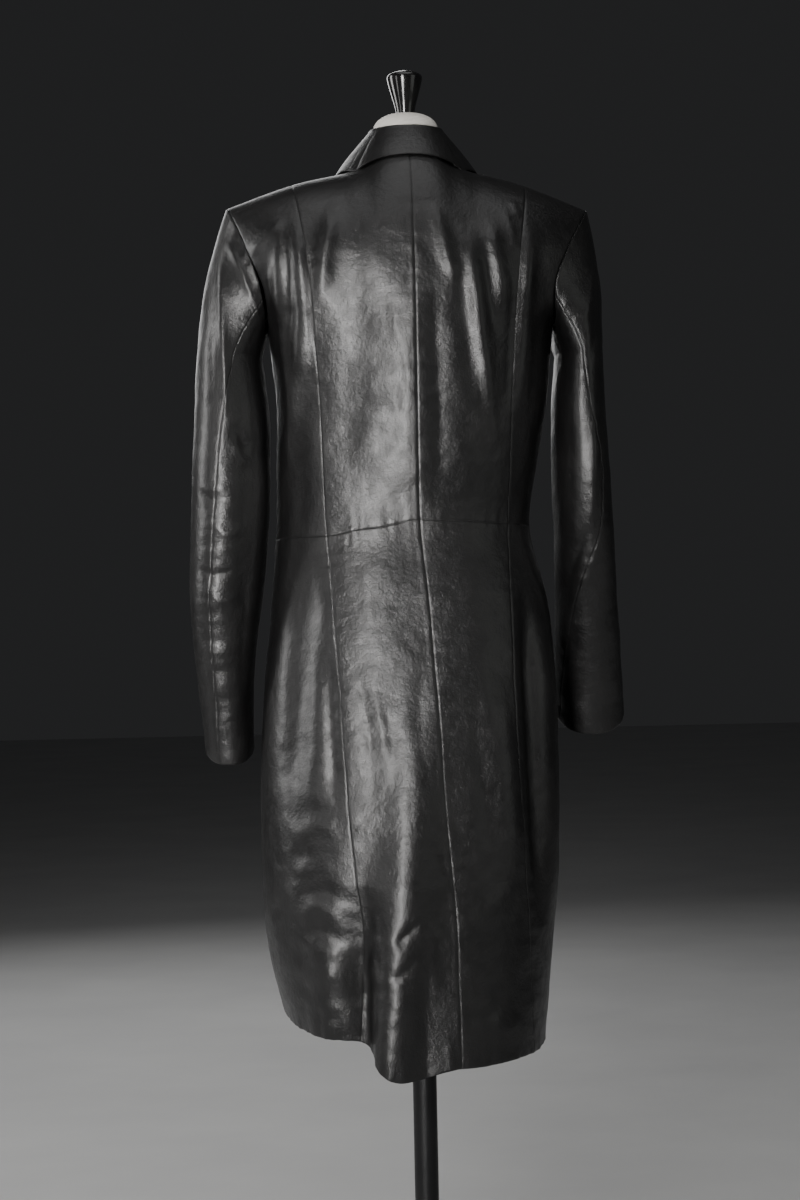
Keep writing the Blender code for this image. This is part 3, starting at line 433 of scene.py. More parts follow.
def fold_depth(folds, x, z):
    """How far the large folds lift the cloth, each fading out at its ends unless it meets the hem."""
    total = np.zeros(np.broadcast(x, z).shape)
    for f in folds:
        along = (f.z_top - z) / (f.z_top - f.z_low)
        ends = FOLD_FADE * np.minimum(along, 1 - along) if f.z_low > FRONT_HEM_Z else HEM_FOLD_FADE * along
        ends = np.clip(ends, 0, 1) * ((z > f.z_low) & (z < f.z_top))
        total += f.height * ends * bell(x - blend(f.x_top, f.x_low, along), f.half_width)
    return total


def arch(x, half_width):
    share = np.minimum(1.0, np.abs(x) / half_width)
    return (1 - share**ROUNDNESS) ** (1 / ROUNDNESS)


def shoulder_z(x, facing):
    """Height of the coat's top line: the shoulder seam, and behind also the neck seam between its ends."""
    drop = value(SHOULDERS, "x", "right_drop", x)
    seam = value(SHOULDERS, "x", "z", np.abs(x)) - drop
    neck = blend(NAPE_Z, SHOULDERS[0].z, (x / NECK_HALF_WIDTH) ** 2)
    return np.where((np.abs(x) >= NECK_HALF_WIDTH) | (facing > 0), seam, neck)


def shoulder_y(x, facing):
    inside = np.maximum(0.0, 1 - (x / NECK_HALF_WIDTH) ** 2)
    return np.where(facing > 0, 0.0, -NECK_HALF_WIDTH * np.sqrt(inside))


def section(z, *columns):
    return [value(SECTIONS, "z", column, z) for column in columns]


def section_angle(x, z):
    """The angle from the middle line of a place across the coat, below the underarm."""
    left, right = section(z, "left", "right")
    return np.degrees(np.arcsin(np.clip((x - (left + right) / 2) / ((right - left) / 2), -1, 1)))


def lower_point(angle, z):
    """Points below the underarm; the angle runs from the middle of the back towards +X."""
    left, right, back, front = section(z, "left", "right", "back", "front")
    middle, half = (left + right) / 2, (right - left) / 2
    turn = np.radians(angle)
    behind = np.cos(turn) >= 0
    offset = half * np.sin(turn)
    depth = np.where(behind, back, front)
    x = middle + offset
    y = arch(offset, half) * np.where(behind, -depth, depth)
    lift = np.where(behind, fold_depth(BACK_FOLDS, x, z), fold_depth(FRONT_FOLDS, x, z))
    outward = unit(stacked(np.sin(turn) / half, -np.cos(turn) / depth, 0.0))
    return stacked(x, y, z) + outward * lift[..., None]


def upper_point(x, share, facing):
    """Points above the underarm, by their share of the height there; facing is -1 behind and 1 in front."""
    z = blend(UNDERARM_Z, shoulder_z(x, facing), share)
    half = value(UPPERS, "share", "half_width", share)
    depth = value(UPPERS, "share", "back" if facing < 0 else "front", share)
    bend = np.maximum(0.0, 1 - share**SHOULDER_BEND) ** (1 / SHOULDER_BEND)
    y = blend(shoulder_y(x, facing), facing * depth * arch(x, half), bend)
    lift = fold_depth(BACK_FOLDS if facing < 0 else FRONT_FOLDS, x, z)
    return stacked(x, y + facing * lift, z)


def seam_angle(name, z):
    return section_angle(*section(z, name), z)


def line_height(line, angle):
    """Height of the waist seam or hem at an angle, from its six stated places."""
    left, middle, right = (seam_angle(n, line.middle) for n in ("seam_left", "seam_mid", "seam_right"))
    angles = np.array([-SIDE_ANGLE, left, (left + middle) / 2, middle, right, SIDE_ANGLE])
    heights = np.array(line)
    angle = np.clip(angle, -SIDE_ANGLE, SIDE_ANGLE)
    i = np.clip(np.searchsorted(angles, angle, side="right") - 1, 0, len(angles) - 2)
    t = (angle - angles[i]) / (angles[i + 1] - angles[i])
    return blend(heights[i], heights[i + 1], smooth(t))


def places(length, spacing=SPACING):
    """Shares along a length: short steps at both ends and even ones between, an odd number in all."""
    edge = EDGE_STEPS / length
    count = int(round((length - 2 * EDGE_STEPS[-1]) / spacing))
    count += count % 2
    return np.concatenate([edge[:-1], np.linspace(edge[-1], 1 - edge[-1], count + 1), 1 - edge[-2::-1]])


def steps_along(path):
    return np.linalg.norm(np.diff(path, axis=0), axis=1)


def lengths_along(path):
    """Distance of each point of a path from its first."""
    return np.concatenate([[0.0], np.cumsum(steps_along(path))])


def bodice_rows(lower_length, x, facing):
    """Rows of a panel that goes up to the shoulder: shares of its lower part, then of its upper part."""
    shares = 1 - (1 - np.linspace(0, 1, LENGTH_STEPS)) ** 3
    lengths = lengths_along(upper_point(np.full(shares.shape, x), shares, facing))
    at = places(lower_length + lengths[-1]) * (lower_length + lengths[-1])
    lower, upper = at[at < lower_length] / lower_length, at[at >= lower_length] - lower_length
    return lower, np.interp(upper, lengths, shares)


def panel_ends(edges, z):
    return [e if isinstance(e, float) else seam_angle(e, z) for e in edges]


def upper_edge(edge, height):
    if edge == "seam_mid":
        return np.zeros(height.shape)
    if isinstance(edge, float):
        side = int(math.copysign(1, edge))
        return side * value(UPPERS, "share", ARM_COLUMNS[side], height)
    return (-1 if edge == "seam_left" else 1) * value(UPPERS, "share", "princess", height)


def top_shares(edges, shares):
    """Shares across a middle panel's top that put half of its columns round the neck seam."""
    if "seam_mid" not in edges:
        return shares
    princess = UPPERS[-1].princess
    from_middle = shares if edges[0] == "seam_mid" else 1 - shares
    neck = NECK_HALF_WIDTH * np.sin(np.pi * np.minimum(from_middle, 0.5))
    tops = (neck + (princess - NECK_HALF_WIDTH) * np.maximum(0.0, 2 * from_middle - 1)) / princess
    return tops if edges[0] == "seam_mid" else 1 - tops


def back_bodice(near, far, width):
    """A back panel from waist to shoulder, between two of the seams or a seam and the armhole."""
    edges = (near, far)
    across = places(width)[None, :]
    top_middle = np.mean([upper_edge(e, np.ones(1))[0] for e in edges])
    lower, upper = bodice_rows(UNDERARM_Z - WAIST.middle, top_middle, -1)
    z = np.full((len(lower), across.shape[1]), UNDERARM_Z)
    for _ in range(2):
        angle = blend(*panel_ends(edges, z), across)
        z = blend(line_height(WAIST, angle), UNDERARM_Z, lower[:, None])
    low_part = lower_point(blend(*panel_ends(edges, z), across), z)
    seams = panel_ends(edges, np.array(UNDERARM_Z))
    chest = lower_point(blend(*seams, across[0]), np.full(across.shape[1], UNDERARM_Z))[:, 0]
    shares = (chest - chest[0]) / (chest[-1] - chest[0])
    height = upper[:, None]
    x0, x1 = (upper_edge(e, upper)[:, None] for e in edges)
    x = blend(x0, x1, blend(shares, top_shares(edges, across[0]), height**2))
    points = np.concatenate([low_part, upper_point(x, np.broadcast_to(height, x.shape), -1)])
    points = eased(points, 0, near_underarm(points, [isinstance(e, float) for e in edges]))
    beside_neck = bell(np.abs(points[..., 0]) - NECK_HALF_WIDTH, NECK_EASE_WIDTH)
    return eased(points, 1, beside_neck * smooth((points[..., 2] - NECK_EASE_Z) / NECK_EASE_RISE))


def eased(points, axis, near):
    """A grid smoothed along one of its ways, as far as it is near a bend."""
    side = 3 * EASE_STEPS
    weights = bell(np.arange(-side, side + 1), EASE_STEPS * math.sqrt(2))
    pads = [(side, side) if i == axis else (0, 0) for i in range(3)]
    padded = np.moveaxis(np.pad(points, pads, mode="edge"), axis, 0)
    mean = sum(w * padded[i:i + points.shape[axis]] for i, w in enumerate(weights / weights.sum()))
    return blend(points, np.moveaxis(mean, 0, axis), near[..., None])


def near_underarm(points, held_edges):
    """How near a grid is to the level of the underarm, nought at its held edges."""
    near = bell(points[..., 2] - UNDERARM_Z, EASE_HEIGHT)
    for distance, held in zip(edge_distances(points), held_edges):
        if held:
            near = near * smooth(distance / EASE_FADE)
    return near


def skirt(near, far, width):
    """A skirt panel from the waist seam to the hem, between two seams or a seam and the side."""
    edges = (near, far)
    across = places(width)[None, :]
    down = places(WAIST.middle - HEM.middle)[:, None]
    z = np.broadcast_to(blend(WAIST.middle, HEM.middle, down), (len(down), across.shape[1]))
    for _ in range(3):
        angle = blend(*panel_ends(edges, z), across)
        z = blend(line_height(WAIST, angle), line_height(HEM, angle), down)
    return lower_point(angle, z)


def front_edge(side, z):
    """A front's free edge: past the middle by the overlap, or along the roll line above the break."""
    rise = np.clip((z - BREAK_Z) / (SHOULDERS[0].z - BREAK_Z), 0, 1)
    return -side * blend(FRONT_OVERLAP, -NECK_HALF_WIDTH, rise)


def front_lift(side, x):
    if side < 0:
        return np.zeros(x.shape)
    return OVERLAP_LIFT * smooth(1 - (x - LIFT_START_X) / LIFT_REACH)


def raised(points, lifts):
    return points + normals(points, MIDDLE) * lifts[..., None]


def front_panel(side, width=0.19):
    """A front from shoulder to hem, between its free edge and the side seam or armhole."""
    across = places(width)[None, :]
    lower, upper = bodice_rows(UNDERARM_Z - FRONT_HEM_Z, side * FRONT_MIDDLE_X, 1)
    z = blend(FRONT_HEM_Z, UNDERARM_Z, lower)[:, None]
    angle = blend(section_angle(front_edge(side, z), z), SIDE_ANGLE * side, across)
    hem = blend(FRONT_HEM_Z, HEM.left_side if side < 0 else HEM.right_side, across**3)
    low_part = lower_point(180 - angle, blend(hem, UNDERARM_Z, lower[:, None]))
    height = upper[:, None]
    free = front_edge(side, blend(UNDERARM_Z, SHOULDERS[0].z, height))
    stop = side * value(UPPERS, "share", "arm_front", height)
    x = blend(free, stop, blend(np.sin(across * np.pi / 2), across, height))
    points = np.concatenate([low_part, upper_point(x, np.broadcast_to(height, x.shape), 1)])
    points = eased(points, 0, near_underarm(points, (True, True)))
    return raised(points, front_lift(side, points[..., 0]))


def front_place(x, z):
    """Points of the front at distances from the middle, at any heights."""
    low = lower_point(180 - section_angle(x, z), np.minimum(z, UNDERARM_Z))
    up = np.clip((z - UNDERARM_Z) / (shoulder_z(x, 1) - UNDERARM_Z), 0, 1)
    return np.where((z < UNDERARM_Z)[..., None], low, upper_point(x, up, 1))


def lapel(side_name, width=0.10, length=0.2):
    """The turned-back edge of a front, lying on it from the roll line outwards."""
    side = SIDES[side_name]
    across, up = places(width)[None, :], places(length)[:, None]
    z = blend(LAPEL_FOOT[side_name], LAPEL_TOP_Z - GORGE_DROP * across, up)
    edge = side * value(LAPELS, "z", "edge_x", z)
    points = front_place(blend(front_edge(side, z), edge, across), z)
    return raised(points, front_lift(side, points[..., 0]) + LAPEL_LIFT + WALL)


def armhole_point(side, turn):
    """Points on the armhole; the turn runs from the shoulder's tip round the back and under the arm."""
    share = (1 + np.cos(turn)) / 2
    hind = upper_point(side * value(UPPERS, "share", ARM_COLUMNS[side], share), share, -1)
    fore = upper_point(side * value(UPPERS, "share", "arm_front", share), share, 1)
    setback = np.array([side * ARMHOLE_SETBACK, 0, 0])
    return np.where((np.sin(turn) >= 0)[..., None], hind, fore) + setback


def sleeve_ring(side_name, turn, z):
    """Points of a sleeve's outline below the underarm."""
    rows = SLEEVES[side_name]
    names = ("outer", "inner", "middle", "half_depth")
    outer, inner, middle, half_depth = (value(rows, "z", name, z) for name in names)
    power = 2 / SLEEVE_ROUNDNESS
    cosine, sine = (np.copysign(np.abs(f(turn)) ** power, f(turn)) for f in (np.cos, np.sin))
    x = (outer + inner) / 2 + (outer - inner) / 2 * cosine
    slant = (middle - rows[0].middle) * SLEEVE_SLANT
    return stacked(SIDES[side_name] * x, middle - half_depth * sine, z - slant * sine)


def sleeve_point(side_name, turn, along):
    """Points of a sleeve: along runs from 0 at the armhole to 1 under the arm and 2 at the cuff."""
    side, rows = SIDES[side_name], SLEEVES[side_name]
    below = sleeve_ring(side_name, turn, blend(rows[0].z, rows[-1].z, np.maximum(0.0, along - 1)))
    cap = np.minimum(along, 1.0)
    top = armhole_point(side, turn)
    drop = cap ** blend(CAP_DROP_UNDER, CAP_DROP_TOP, (1 + np.cos(turn)) / 2)
    points = blend(top, below, stacked(cap, cap, drop))
    points[..., 0] += side * CAP_EASE * np.sin(np.pi * cap) * (1 + np.cos(turn)) / 2
    return points


def sleeve_piece(side_name, is_top, width, length=0.60, cap_share=0.27):
    """One of the two lengths of a sleeve, between its fore seam and its hind seam."""
    rows = SLEEVES[side_name]
    down = places(length)
    along = np.where(down < cap_share, down / cap_share, 1 + (down - cap_share) / (1 - cap_share))[:, None]
    z = blend(rows[0].z, rows[-1].z, np.maximum(0.0, along - 1))
    hind = value(rows, "z", "hind_seam", z)
    hind = np.radians(np.where(along < 1, blend(HIND_SEAM_AT_ARMHOLE, rows[0].hind_seam, along), hind))
    fore = math.radians(FORE_SEAM_ANGLE if is_top else FORE_SEAM_ANGLE + 360)
    turn = blend(fore, hind, places(width)[None, :])
    return sleeve_point(side_name, turn, np.broadcast_to(along, turn.shape))


def collar_value(column, angle):
    return value(COLLARS, "angle", column, np.abs(angle))


def round_neck(angle, radius, z):
    turn = np.radians(angle)
    return stacked(radius * np.sin(turn), -radius * np.cos(turn), z)


def collar_edge(angle):
    """Points of the leaf's edge, raised off the coat at their distance from the neck's middle."""
    place = round_neck(angle, collar_value("leaf_radius", angle), 0.0)
    x, reach = place[:, 0], np.abs(place[:, 1])
    behind = place[:, 1] < 0
    low, high = np.full(x.shape, SEARCH_LOW), np.ones(x.shape)

    def surface(share):
        return np.where(behind[:, None], upper_point(x, share, -1), upper_point(x, share, 1))

    for _ in range(SEARCH_STEPS):
        share = (low + high) / 2
        further = np.abs(surface(share)[:, 1]) > reach
        low, high = np.where(further, share, low), np.where(further, high, share)
    along = surface(np.minimum(1, low + SEARCH_RISE)) - surface(np.maximum(0, low - SEARCH_RISE))
    normal = unit(np.cross(np.gradient(surface(low), axis=0), along))
    normal *= np.sign(normal[:, 2:3])
    return surface(low) + normal * (WALL + COLLAR_REST_GAP), normal


def collar_fall():
    """The leaf of the collar: a rolled crease at the top, then down and out over the neck seam."""
    angle = COLLAR_END * (2 * places(LEAF_LENGTH, LEAF_SPACING) - 1)
    crease = round_neck(angle, collar_value("crease_radius", angle), collar_value("crease_z", angle))
    bulge = collar_value("bulge", angle)
    edge, edge_normal = collar_edge(angle)
    radial = round_neck(angle, 1.0, 0.0)
    up = np.array([0, 0, 1.0])
    rows = []
    for turn in np.linspace(np.pi, 0, ROLL_STEPS + 1)[:-1]:
        rows.append(crease + COLLAR_ROLL * ((np.cos(turn) - 1) * radial + np.sin(turn) * up))
    rising = unit(CREASE_LEAN * radial + up)
    for step in places(LEAF_WIDTH, LEAF_SPACING_DOWN)[:-1]:
        normal = unit(blend(rising, edge_normal, step))
        rows.append(blend(crease, edge, step) + normal * (bulge * math.sin(math.pi * step))[:, None])
    rows.append(edge)
    return np.array(rows[len(rows) % 2 == 0:])


def collar_stand():
    """The band that stands up from the neck seam to the crease."""
    angle = STAND_END * (2 * places(STAND_LENGTH, STAND_SPACING) - 1)
    x = NECK_HALF_WIDTH * np.sin(np.radians(angle))
    past = np.clip((np.abs(angle) - SIDE_ANGLE) / (COLLAR_END - SIDE_ANGLE), 0, 1)
    foot = np.where(past > 0, blend(SHOULDERS[0].z, STAND_FRONT_Z, past), shoulder_z(x, -1)) + STAND_GAP
    crease_radius, crease_z = collar_value("crease_radius", angle), collar_value("crease_z", angle)
    step = places(STAND_HEIGHT, STAND_SPACING)[:, None]
    radius = blend(NECK_HALF_WIDTH, crease_radius - WALL, step) - STAND_SETBACK
    return round_neck(angle[None, :], radius, blend(foot, crease_z - WALL - STAND_SETBACK, step))


def normals(points, centre):
    """Outward directions of a grid, away from an upright line through a centre."""
    across, along = np.gradient(points, axis=1), np.gradient(points, axis=0)
    found = unit(np.cross(across, along))
    outward = points[..., :2] - np.array(centre)
    return found * np.sign((found[..., :2] * outward).sum())


def crease_depth(creases, x, z):
    """How far the creases lift the leather, each fading out over its two ends."""
    total = np.zeros(x.shape)
    for c in creases:
        path = np.array(c.path)
        before = lengths_along(path)
        nearest = np.full(x.shape, np.inf)
        along = np.zeros(x.shape)
        for i, step in enumerate(steps_along(path)):
            dx, dz = (path[i + 1] - path[i]) / step
            t = np.clip((x - path[i, 0]) * dx + (z - path[i, 1]) * dz, 0, step)
            distance = np.hypot(x - path[i, 0] - t * dx, z - path[i, 1] - t * dz)
            closer = distance < nearest
            nearest = np.where(closer, distance, nearest)
            along = np.where(closer, before[i] + t, along)
        share = along / before[-1]
        total += c.height * smooth(CREASE_FADE * np.minimum(share, 1 - share)) * crest(nearest, c.half_width)
    return total


def noise_at(points, scale):
    flat = (points * scale).reshape(-1, 3)
    return np.array([noise.noise(Vector(p)) for p in flat]).reshape(points.shape[:-1])


def edge_distances(points):
    """Distance along the cloth from a grid's first and last column and first and last row."""
    across = np.linalg.norm(np.diff(points, axis=1), axis=-1)
    along = np.linalg.norm(np.diff(points, axis=0), axis=-1)
    left = np.pad(np.cumsum(across, axis=1), ((0, 0), (1, 0)))
    top = np.pad(np.cumsum(along, axis=0), ((1, 0), (0, 0)))
    return left, left[:, -1:] - left, top, top[-1:] - top


def seam_relief(points, puckers, lips):
    """Sunk seam edges, the lip of the allowance under some of them, and the puckers that run off them."""
    depth = np.zeros(points.shape[:2])
    lines = (points[:, :1], points[:, -1:], points[:1], points[-1:])
    for line, distance, pucker, lip in zip(lines, edge_distances(points), puckers, lips):
        depth -= GROOVE_DEPTH * bell(distance, GROOVE_WIDTH)
        depth += LIP_HEIGHT * lip * bell(distance - LIP_PLACE, LIP_WIDTH)
        depth += pucker * noise_at(line, PUCKER_SCALE) * np.exp(-distance / PUCKER_REACH)
        depth += pucker / SHIRR_PART * noise_at(line, SHIRR_SCALE) * np.exp(-distance / SHIRR_REACH)
    return depth


def shell(name, points, centre, material):
    """A closed leather shell: a fine outer face, an inner one with half its rows and columns, and a rim."""
    rows, columns = points.shape[:2]
    pulled = points.copy()
    for edge, beside in zip(EDGES.values(), BESIDE_EDGES):
        pulled[edge] += unit(points[beside] - points[edge]) * SEAM_HALF_GAP
    inner = (pulled - normals(points, centre) * WALL)[::2, ::2]
    inner_rows, inner_columns = inner.shape[:2]
    outer_at = np.arange(rows * columns).reshape(rows, columns)
    inner_at = rows * columns + np.arange(inner_rows * inner_columns).reshape(inner_rows, inner_columns)
    faces = []
    for at, turned_in in ((outer_at, False), (inner_at, True)):
        quads = np.stack([at[:-1, :-1], at[:-1, 1:], at[1:, 1:], at[1:, :-1]], axis=-1).reshape(-1, 4)
        faces += (quads[:, ::-1] if turned_in else quads).tolist()
    for outer_line, inner_line, forward in (
        (outer_at[0], inner_at[0], False),
        (outer_at[-1], inner_at[-1], True),
        (outer_at[:, 0], inner_at[:, 0], True),
        (outer_at[:, -1], inner_at[:, -1], False),
    ):
        for i in range(len(inner_line) - 1):
            a, b, c = outer_line[2 * i:2 * i + 3].tolist()
            face = [a, b, c, int(inner_line[i + 1]), int(inner_line[i])]
            faces.append(face if forward else face[::-1])
    mesh = bpy.data.meshes.new(name)
    mesh.from_pydata(np.concatenate([pulled.reshape(-1, 3), inner.reshape(-1, 3)]).tolist(), [], faces)
    return piece_from(name, mesh, material)


def mesh_from(name, form):
    mesh = bpy.data.meshes.new(name)
    form.to_mesh(mesh)
    form.free()
    return mesh


def piece_from(name, mesh, material, sharp_angle=55):
    """An object of the part, smooth but for its sharp edges, facing outwards all over."""
    form = bmesh.new()
    form.from_mesh(mesh)
    bmesh.ops.recalc_face_normals(form, faces=form.faces)
    form.to_mesh(mesh)
    form.free()
    mesh.shade_smooth()
    mesh.set_sharp_from_angle(angle=math.radians(sharp_angle))
    mesh.materials.append(material)
    piece = bpy.data.objects.new(name, mesh)
    bpy.context.scene.collection.objects.link(piece)
    return piece


def cloth(
    node, points, creases, puckers=PLAIN, lips=PLAIN, centre=MIDDLE
):
    """A cut piece of leather in the place of its solid, creased."""
    outward = normals(points, centre)
    x, z = points[..., 0], points[..., 2]
    facing = np.clip(FACING_GAIN * outward[..., 1], -1, 1)
    depth = crease_depth(creases, x, z) * np.maximum(0, -facing)
    depth += crease_depth(FRONT_CREASES, x, z) * np.maximum(0, facing) * (centre == MIDDLE)
    calm = np.where(facing > 0, smooth((np.abs(x) - CALM_HALF_WIDTH) / CALM_HALF_WIDTH), 1.0)
    calm = calm * smooth((CALM_TOP_Z - z) / CALM_RISE)
    crumpled = noise_at(points, np.array(CRUMPLE_SCALE))
    for c in CRUMPLES:
        here = bell(x - c.x, c.half_width) * bell(z - c.z, c.half_height) * np.maximum(0, -facing)
        depth += c.height * here * crumpled
    for scale, height in SWELLS:
        depth += height * calm * noise_at(points, scale)
    depth += seam_relief(points, puckers, lips)
    creased = points + outward * depth[..., None]
    piece = shell(f"{node}_leather", creased, centre, LEATHER)
    dress(piece, node)
    return creased


def dress(piece, node):
    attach(piece, "root")
    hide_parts(node)


class Nodes:
    """Short ways to add nodes to a material and join them."""

    def __init__(self, name):
        self.material = bpy.data.materials.new(name)
        self.material.use_nodes = True
        self.tree = self.material.node_tree
        self.shader = self.tree.nodes["Principled BSDF"]
        self.place = self.add("ShaderNodeTexCoord", {}).outputs["Object"]

    def feed(self, node, inputs):
        """Set a node's inputs, each to a value or to what another node gives."""
        for name, source in inputs.items():
            if isinstance(source, bpy.types.NodeSocket):
                self.tree.links.new(source, node.inputs[name])
            else:
                node.inputs[name].default_value = source

    def add(self, kind, inputs, **settings):
        node = self.tree.nodes.new(kind)
        for key, setting in settings.items():
            setattr(node, key, setting)
        self.feed(node, inputs)
        return node

    def noise(self, scale, detail, roughness=0.55, stretch=None):
        place = self.place
        if stretch:
            place = self.add("ShaderNodeMapping", {"Vector": place, "Scale": stretch}).outputs["Vector"]
        inputs = {"Vector": place, "Scale": scale, "Detail": detail, "Roughness": roughness}
        return self.add("ShaderNodeTexNoise", inputs).outputs["Fac"]

    def cells(self, scale, feature="SMOOTH_F1"):
        inputs = {"Vector": self.place, "Scale": scale}
        return self.add("ShaderNodeTexVoronoi", inputs, feature=feature).outputs["Distance"]

    def ramp(self, source, *stops):
        node = self.add("ShaderNodeValToRGB", {"Fac": source})
        for element, (at, colour) in zip(node.color_ramp.elements, stops):
            element.position = at
            element.color = (*colour, 1)
        return node.outputs["Color"]

    def scaled(self, source, low, high):
        """A noise's usual range, spread from a low to a high value."""
        inputs = {"Value": source, "From Min": 0.3, "From Max": 0.7, "To Min": low, "To Max": high}
        return self.add("ShaderNodeMapRange", inputs).outputs["Result"]

    def bump(self, source, strength, distance, after=None):
        inputs = {"Height": source, "Strength": strength, "Distance": distance}
        if after:
            inputs["Normal"] = after
        return self.add("ShaderNodeBump", inputs).outputs["Normal"]

    def finish(self, tone, rough, normal=None, **others):
        inputs = {"Base Color": tone, "Roughness": rough}
        if normal:
            inputs["Normal"] = normal
        inputs.update({name.replace("_", " "): setting for name, setting in others.items()})
        self.feed(self.shader, inputs)
        return self.material


def leather():
    """Black aniline leather: a fine pebbled grain, softer and rougher patches, hair creases."""
    n = Nodes("black_leather")
    tone = n.ramp(n.noise(14, 4), (0.32, (0.0060, 0.0059, 0.0061)), (0.70, (0.0125, 0.0122, 0.0122)))
    rough = n.scaled(n.noise(95, 5, 0.6), 0.31, 0.45)
    hides = n.bump(n.noise(50, 4, 0.6), 0.30, 0.0022)
    mottle = n.bump(n.noise(170, 4, 0.6), 0.55, 0.0012, hides)
    hair = n.bump(n.noise(430, 4, 0.65), 0.45, 0.0006, mottle)
    pebble = n.bump(n.cells(820), 0.26, 0.0003, hair)
    return n.finish(tone, rough, pebble, Specular_IOR_Level=0.6, Coat_Weight=0.15, Coat_Roughness=0.25)


def thread():
    n = Nodes("black_thread")
    tone = n.ramp(n.noise(900, 2), (0.3, (0.006, 0.006, 0.006)), (0.7, (0.016, 0.016, 0.017)))
    return n.finish(tone, n.scaled(n.noise(600, 2), 0.55, 0.75), n.bump(n.noise(2500, 2), 0.4, 0.0002))


def horn():
    n = Nodes("black_horn")
    grain = n.noise(120, 4, 0.6, (1, 1, 4))
    tone = n.ramp(grain, (0.35, (0.006, 0.0055, 0.005)), (0.75, (0.030, 0.024, 0.019)))
    return n.finish(tone, n.scaled(n.noise(300, 3), 0.16, 0.28), n.bump(n.noise(500, 3), 0.1, 0.0002))


def jersey():
    """Ivory knitted cover, with fine ribs and a little soiling."""
    n = Nodes("ivory_jersey")
    tone = n.ramp(n.noise(22, 4), (0.3, (0.72, 0.69, 0.63)), (0.7, (0.84, 0.815, 0.765)))
    wave = {"Vector": n.place, "Scale": 420, "Distortion": 1.2}
    ribs = n.add("ShaderNodeTexWave", wave, wave_type="BANDS", bands_direction="Z")
    knit = n.bump(n.cells(1300, "F1"), 0.35, 0.0003, n.bump(ribs.outputs["Fac"], 0.25, 0.0003))
    rough = n.scaled(n.noise(90, 3), 0.78, 0.92)
    return n.finish(tone, rough, knit, Sheen_Weight=0.25, Sheen_Roughness=0.5)


def lacquer():
    n = Nodes("black_lacquer")
    tone = n.ramp(n.noise(30, 3), (0.3, (0.006, 0.006, 0.0065)), (0.7, (0.013, 0.0125, 0.012)))
    rough = n.scaled(n.noise(60, 5), 0.12, 0.24)
    ripple = n.bump(n.noise(260, 4), 0.05, 0.0003)
    return n.finish(tone, rough, ripple, Coat_Weight=0.6, Coat_Roughness=0.06)


def steel():
    n = Nodes("black_steel")
    tone = n.ramp(n.noise(16, 5), (0.3, (0.009, 0.009, 0.010)), (0.7, (0.019, 0.019, 0.020)))
    rough = n.scaled(n.noise(120, 6), 0.34, 0.52)
    return n.finish(tone, rough, n.bump(n.noise(1500, 2), 0.18, 0.0002), Metallic=0.35)


def floor_paint():
    n = Nodes("pale_floor")
    tone = n.ramp(n.noise(2.5, 4), (0.3, (0.60, 0.60, 0.60)), (0.7, (0.66, 0.66, 0.655)))
    return n.finish(tone, n.scaled(n.noise(6, 3), 0.6, 0.75))


# The form's cap and the stand, as in the solids, by radius and height from the top down
NECK_TOP_Z = 1.4985
KNOB_BOTTOM_Z = 1.5180
CAP_RADIUS = 0.0385
KNOB_SEAT_RADIUS = 0.010
REST_GAP = 0.0003
KNOBS = table(
    "radius height",
    (0.0120, 0.0496),
    (0.0185, 0.0472),
    (0.0209, 0.0438),
    (0.0205, 0.0390),
    (0.0172, 0.0260),
    (0.0132, 0.0120),
    (0.0113, 0.0035),
    (0.0108, 0.0000),
)
FORM_FOOT_Z = 0.780
POLE_RADIUS = 0.0142
BASE_RADIUS = 0.19
BASE_THICKNESS = 0.008
SOCKET_RADIUS = 0.030
SOCKET_HEIGHT = 0.050
STAND_EDGE = 0.003
TURN_STEPS = 96
TURNED_SHARP_ANGLE = 40
DOME_START = 0.02
DOME_STEPS = 16
KNOB_STEPS = 40
ROUND_STEPS = 6

# The torso's cover is smoothed after its solid's triangles are joined in pairs
MERGE_DISTANCE = 0.0001
JOIN_ANGLE = 0.7
SMOOTH_LEVELS = 2

# Threads in the seams
STITCH_PITCH = 0.0030
STITCH_LENGTH = 0.0021
STITCH_RADIUS = 0.00032
STITCH_DEPTH = 0.0001
STITCH_TAPERS = (0.18, 0.82)
QUARTERS = ((1, 0), (0, 1), (-1, 0), (0, -1))

# A button's profile in shares of its radius and thickness, and the two bars of thread in its middle
BUTTON_PROFILE = (
    (0.55, 0.62), (0.68, 0.72), (0.78, 0.95), (0.88, 1.0),
    (0.96, 0.85), (1.0, 0.5), (0.96, 0.15), (0.86, 0.0),
)
BUTTON_STEPS = 40
BUTTON_SHARP_ANGLE = 50
BUTTON_PROBE = 0.001
BAR_OFFSET = 0.0018
BAR_HALF_LENGTH = 0.0026
BAR_RADIUS = 0.0004
BAR_LIFTS = (0.0, 0.0003)


def lathe(name, profile, steps):
    """A closed mesh turned from a profile of (radius, height)."""
    turns = np.linspace(0, 2 * np.pi, steps, endpoint=False)
    form = bmesh.new()
    rings = []
    for radius, z in profile:
        rings.append([form.verts.new((radius * math.cos(t), radius * math.sin(t), z)) for t in turns])
    for a, b in zip(rings, rings[1:]):
        for j in range(steps):
            k = (j + 1) % steps
            form.faces.new((a[j], b[j], b[k], a[k]))
    form.faces.new(rings[0])
    form.faces.new(rings[-1])
    return mesh_from(name, form)


def turned(node, profile, material):
    """A turned piece in the place of its solid, from a profile of (radius, height) from the top down."""
    mesh = lathe(node, profile, TURN_STEPS)
    dress(piece_from(f"{node}_turned", mesh, material, TURNED_SHARP_ANGLE), node)


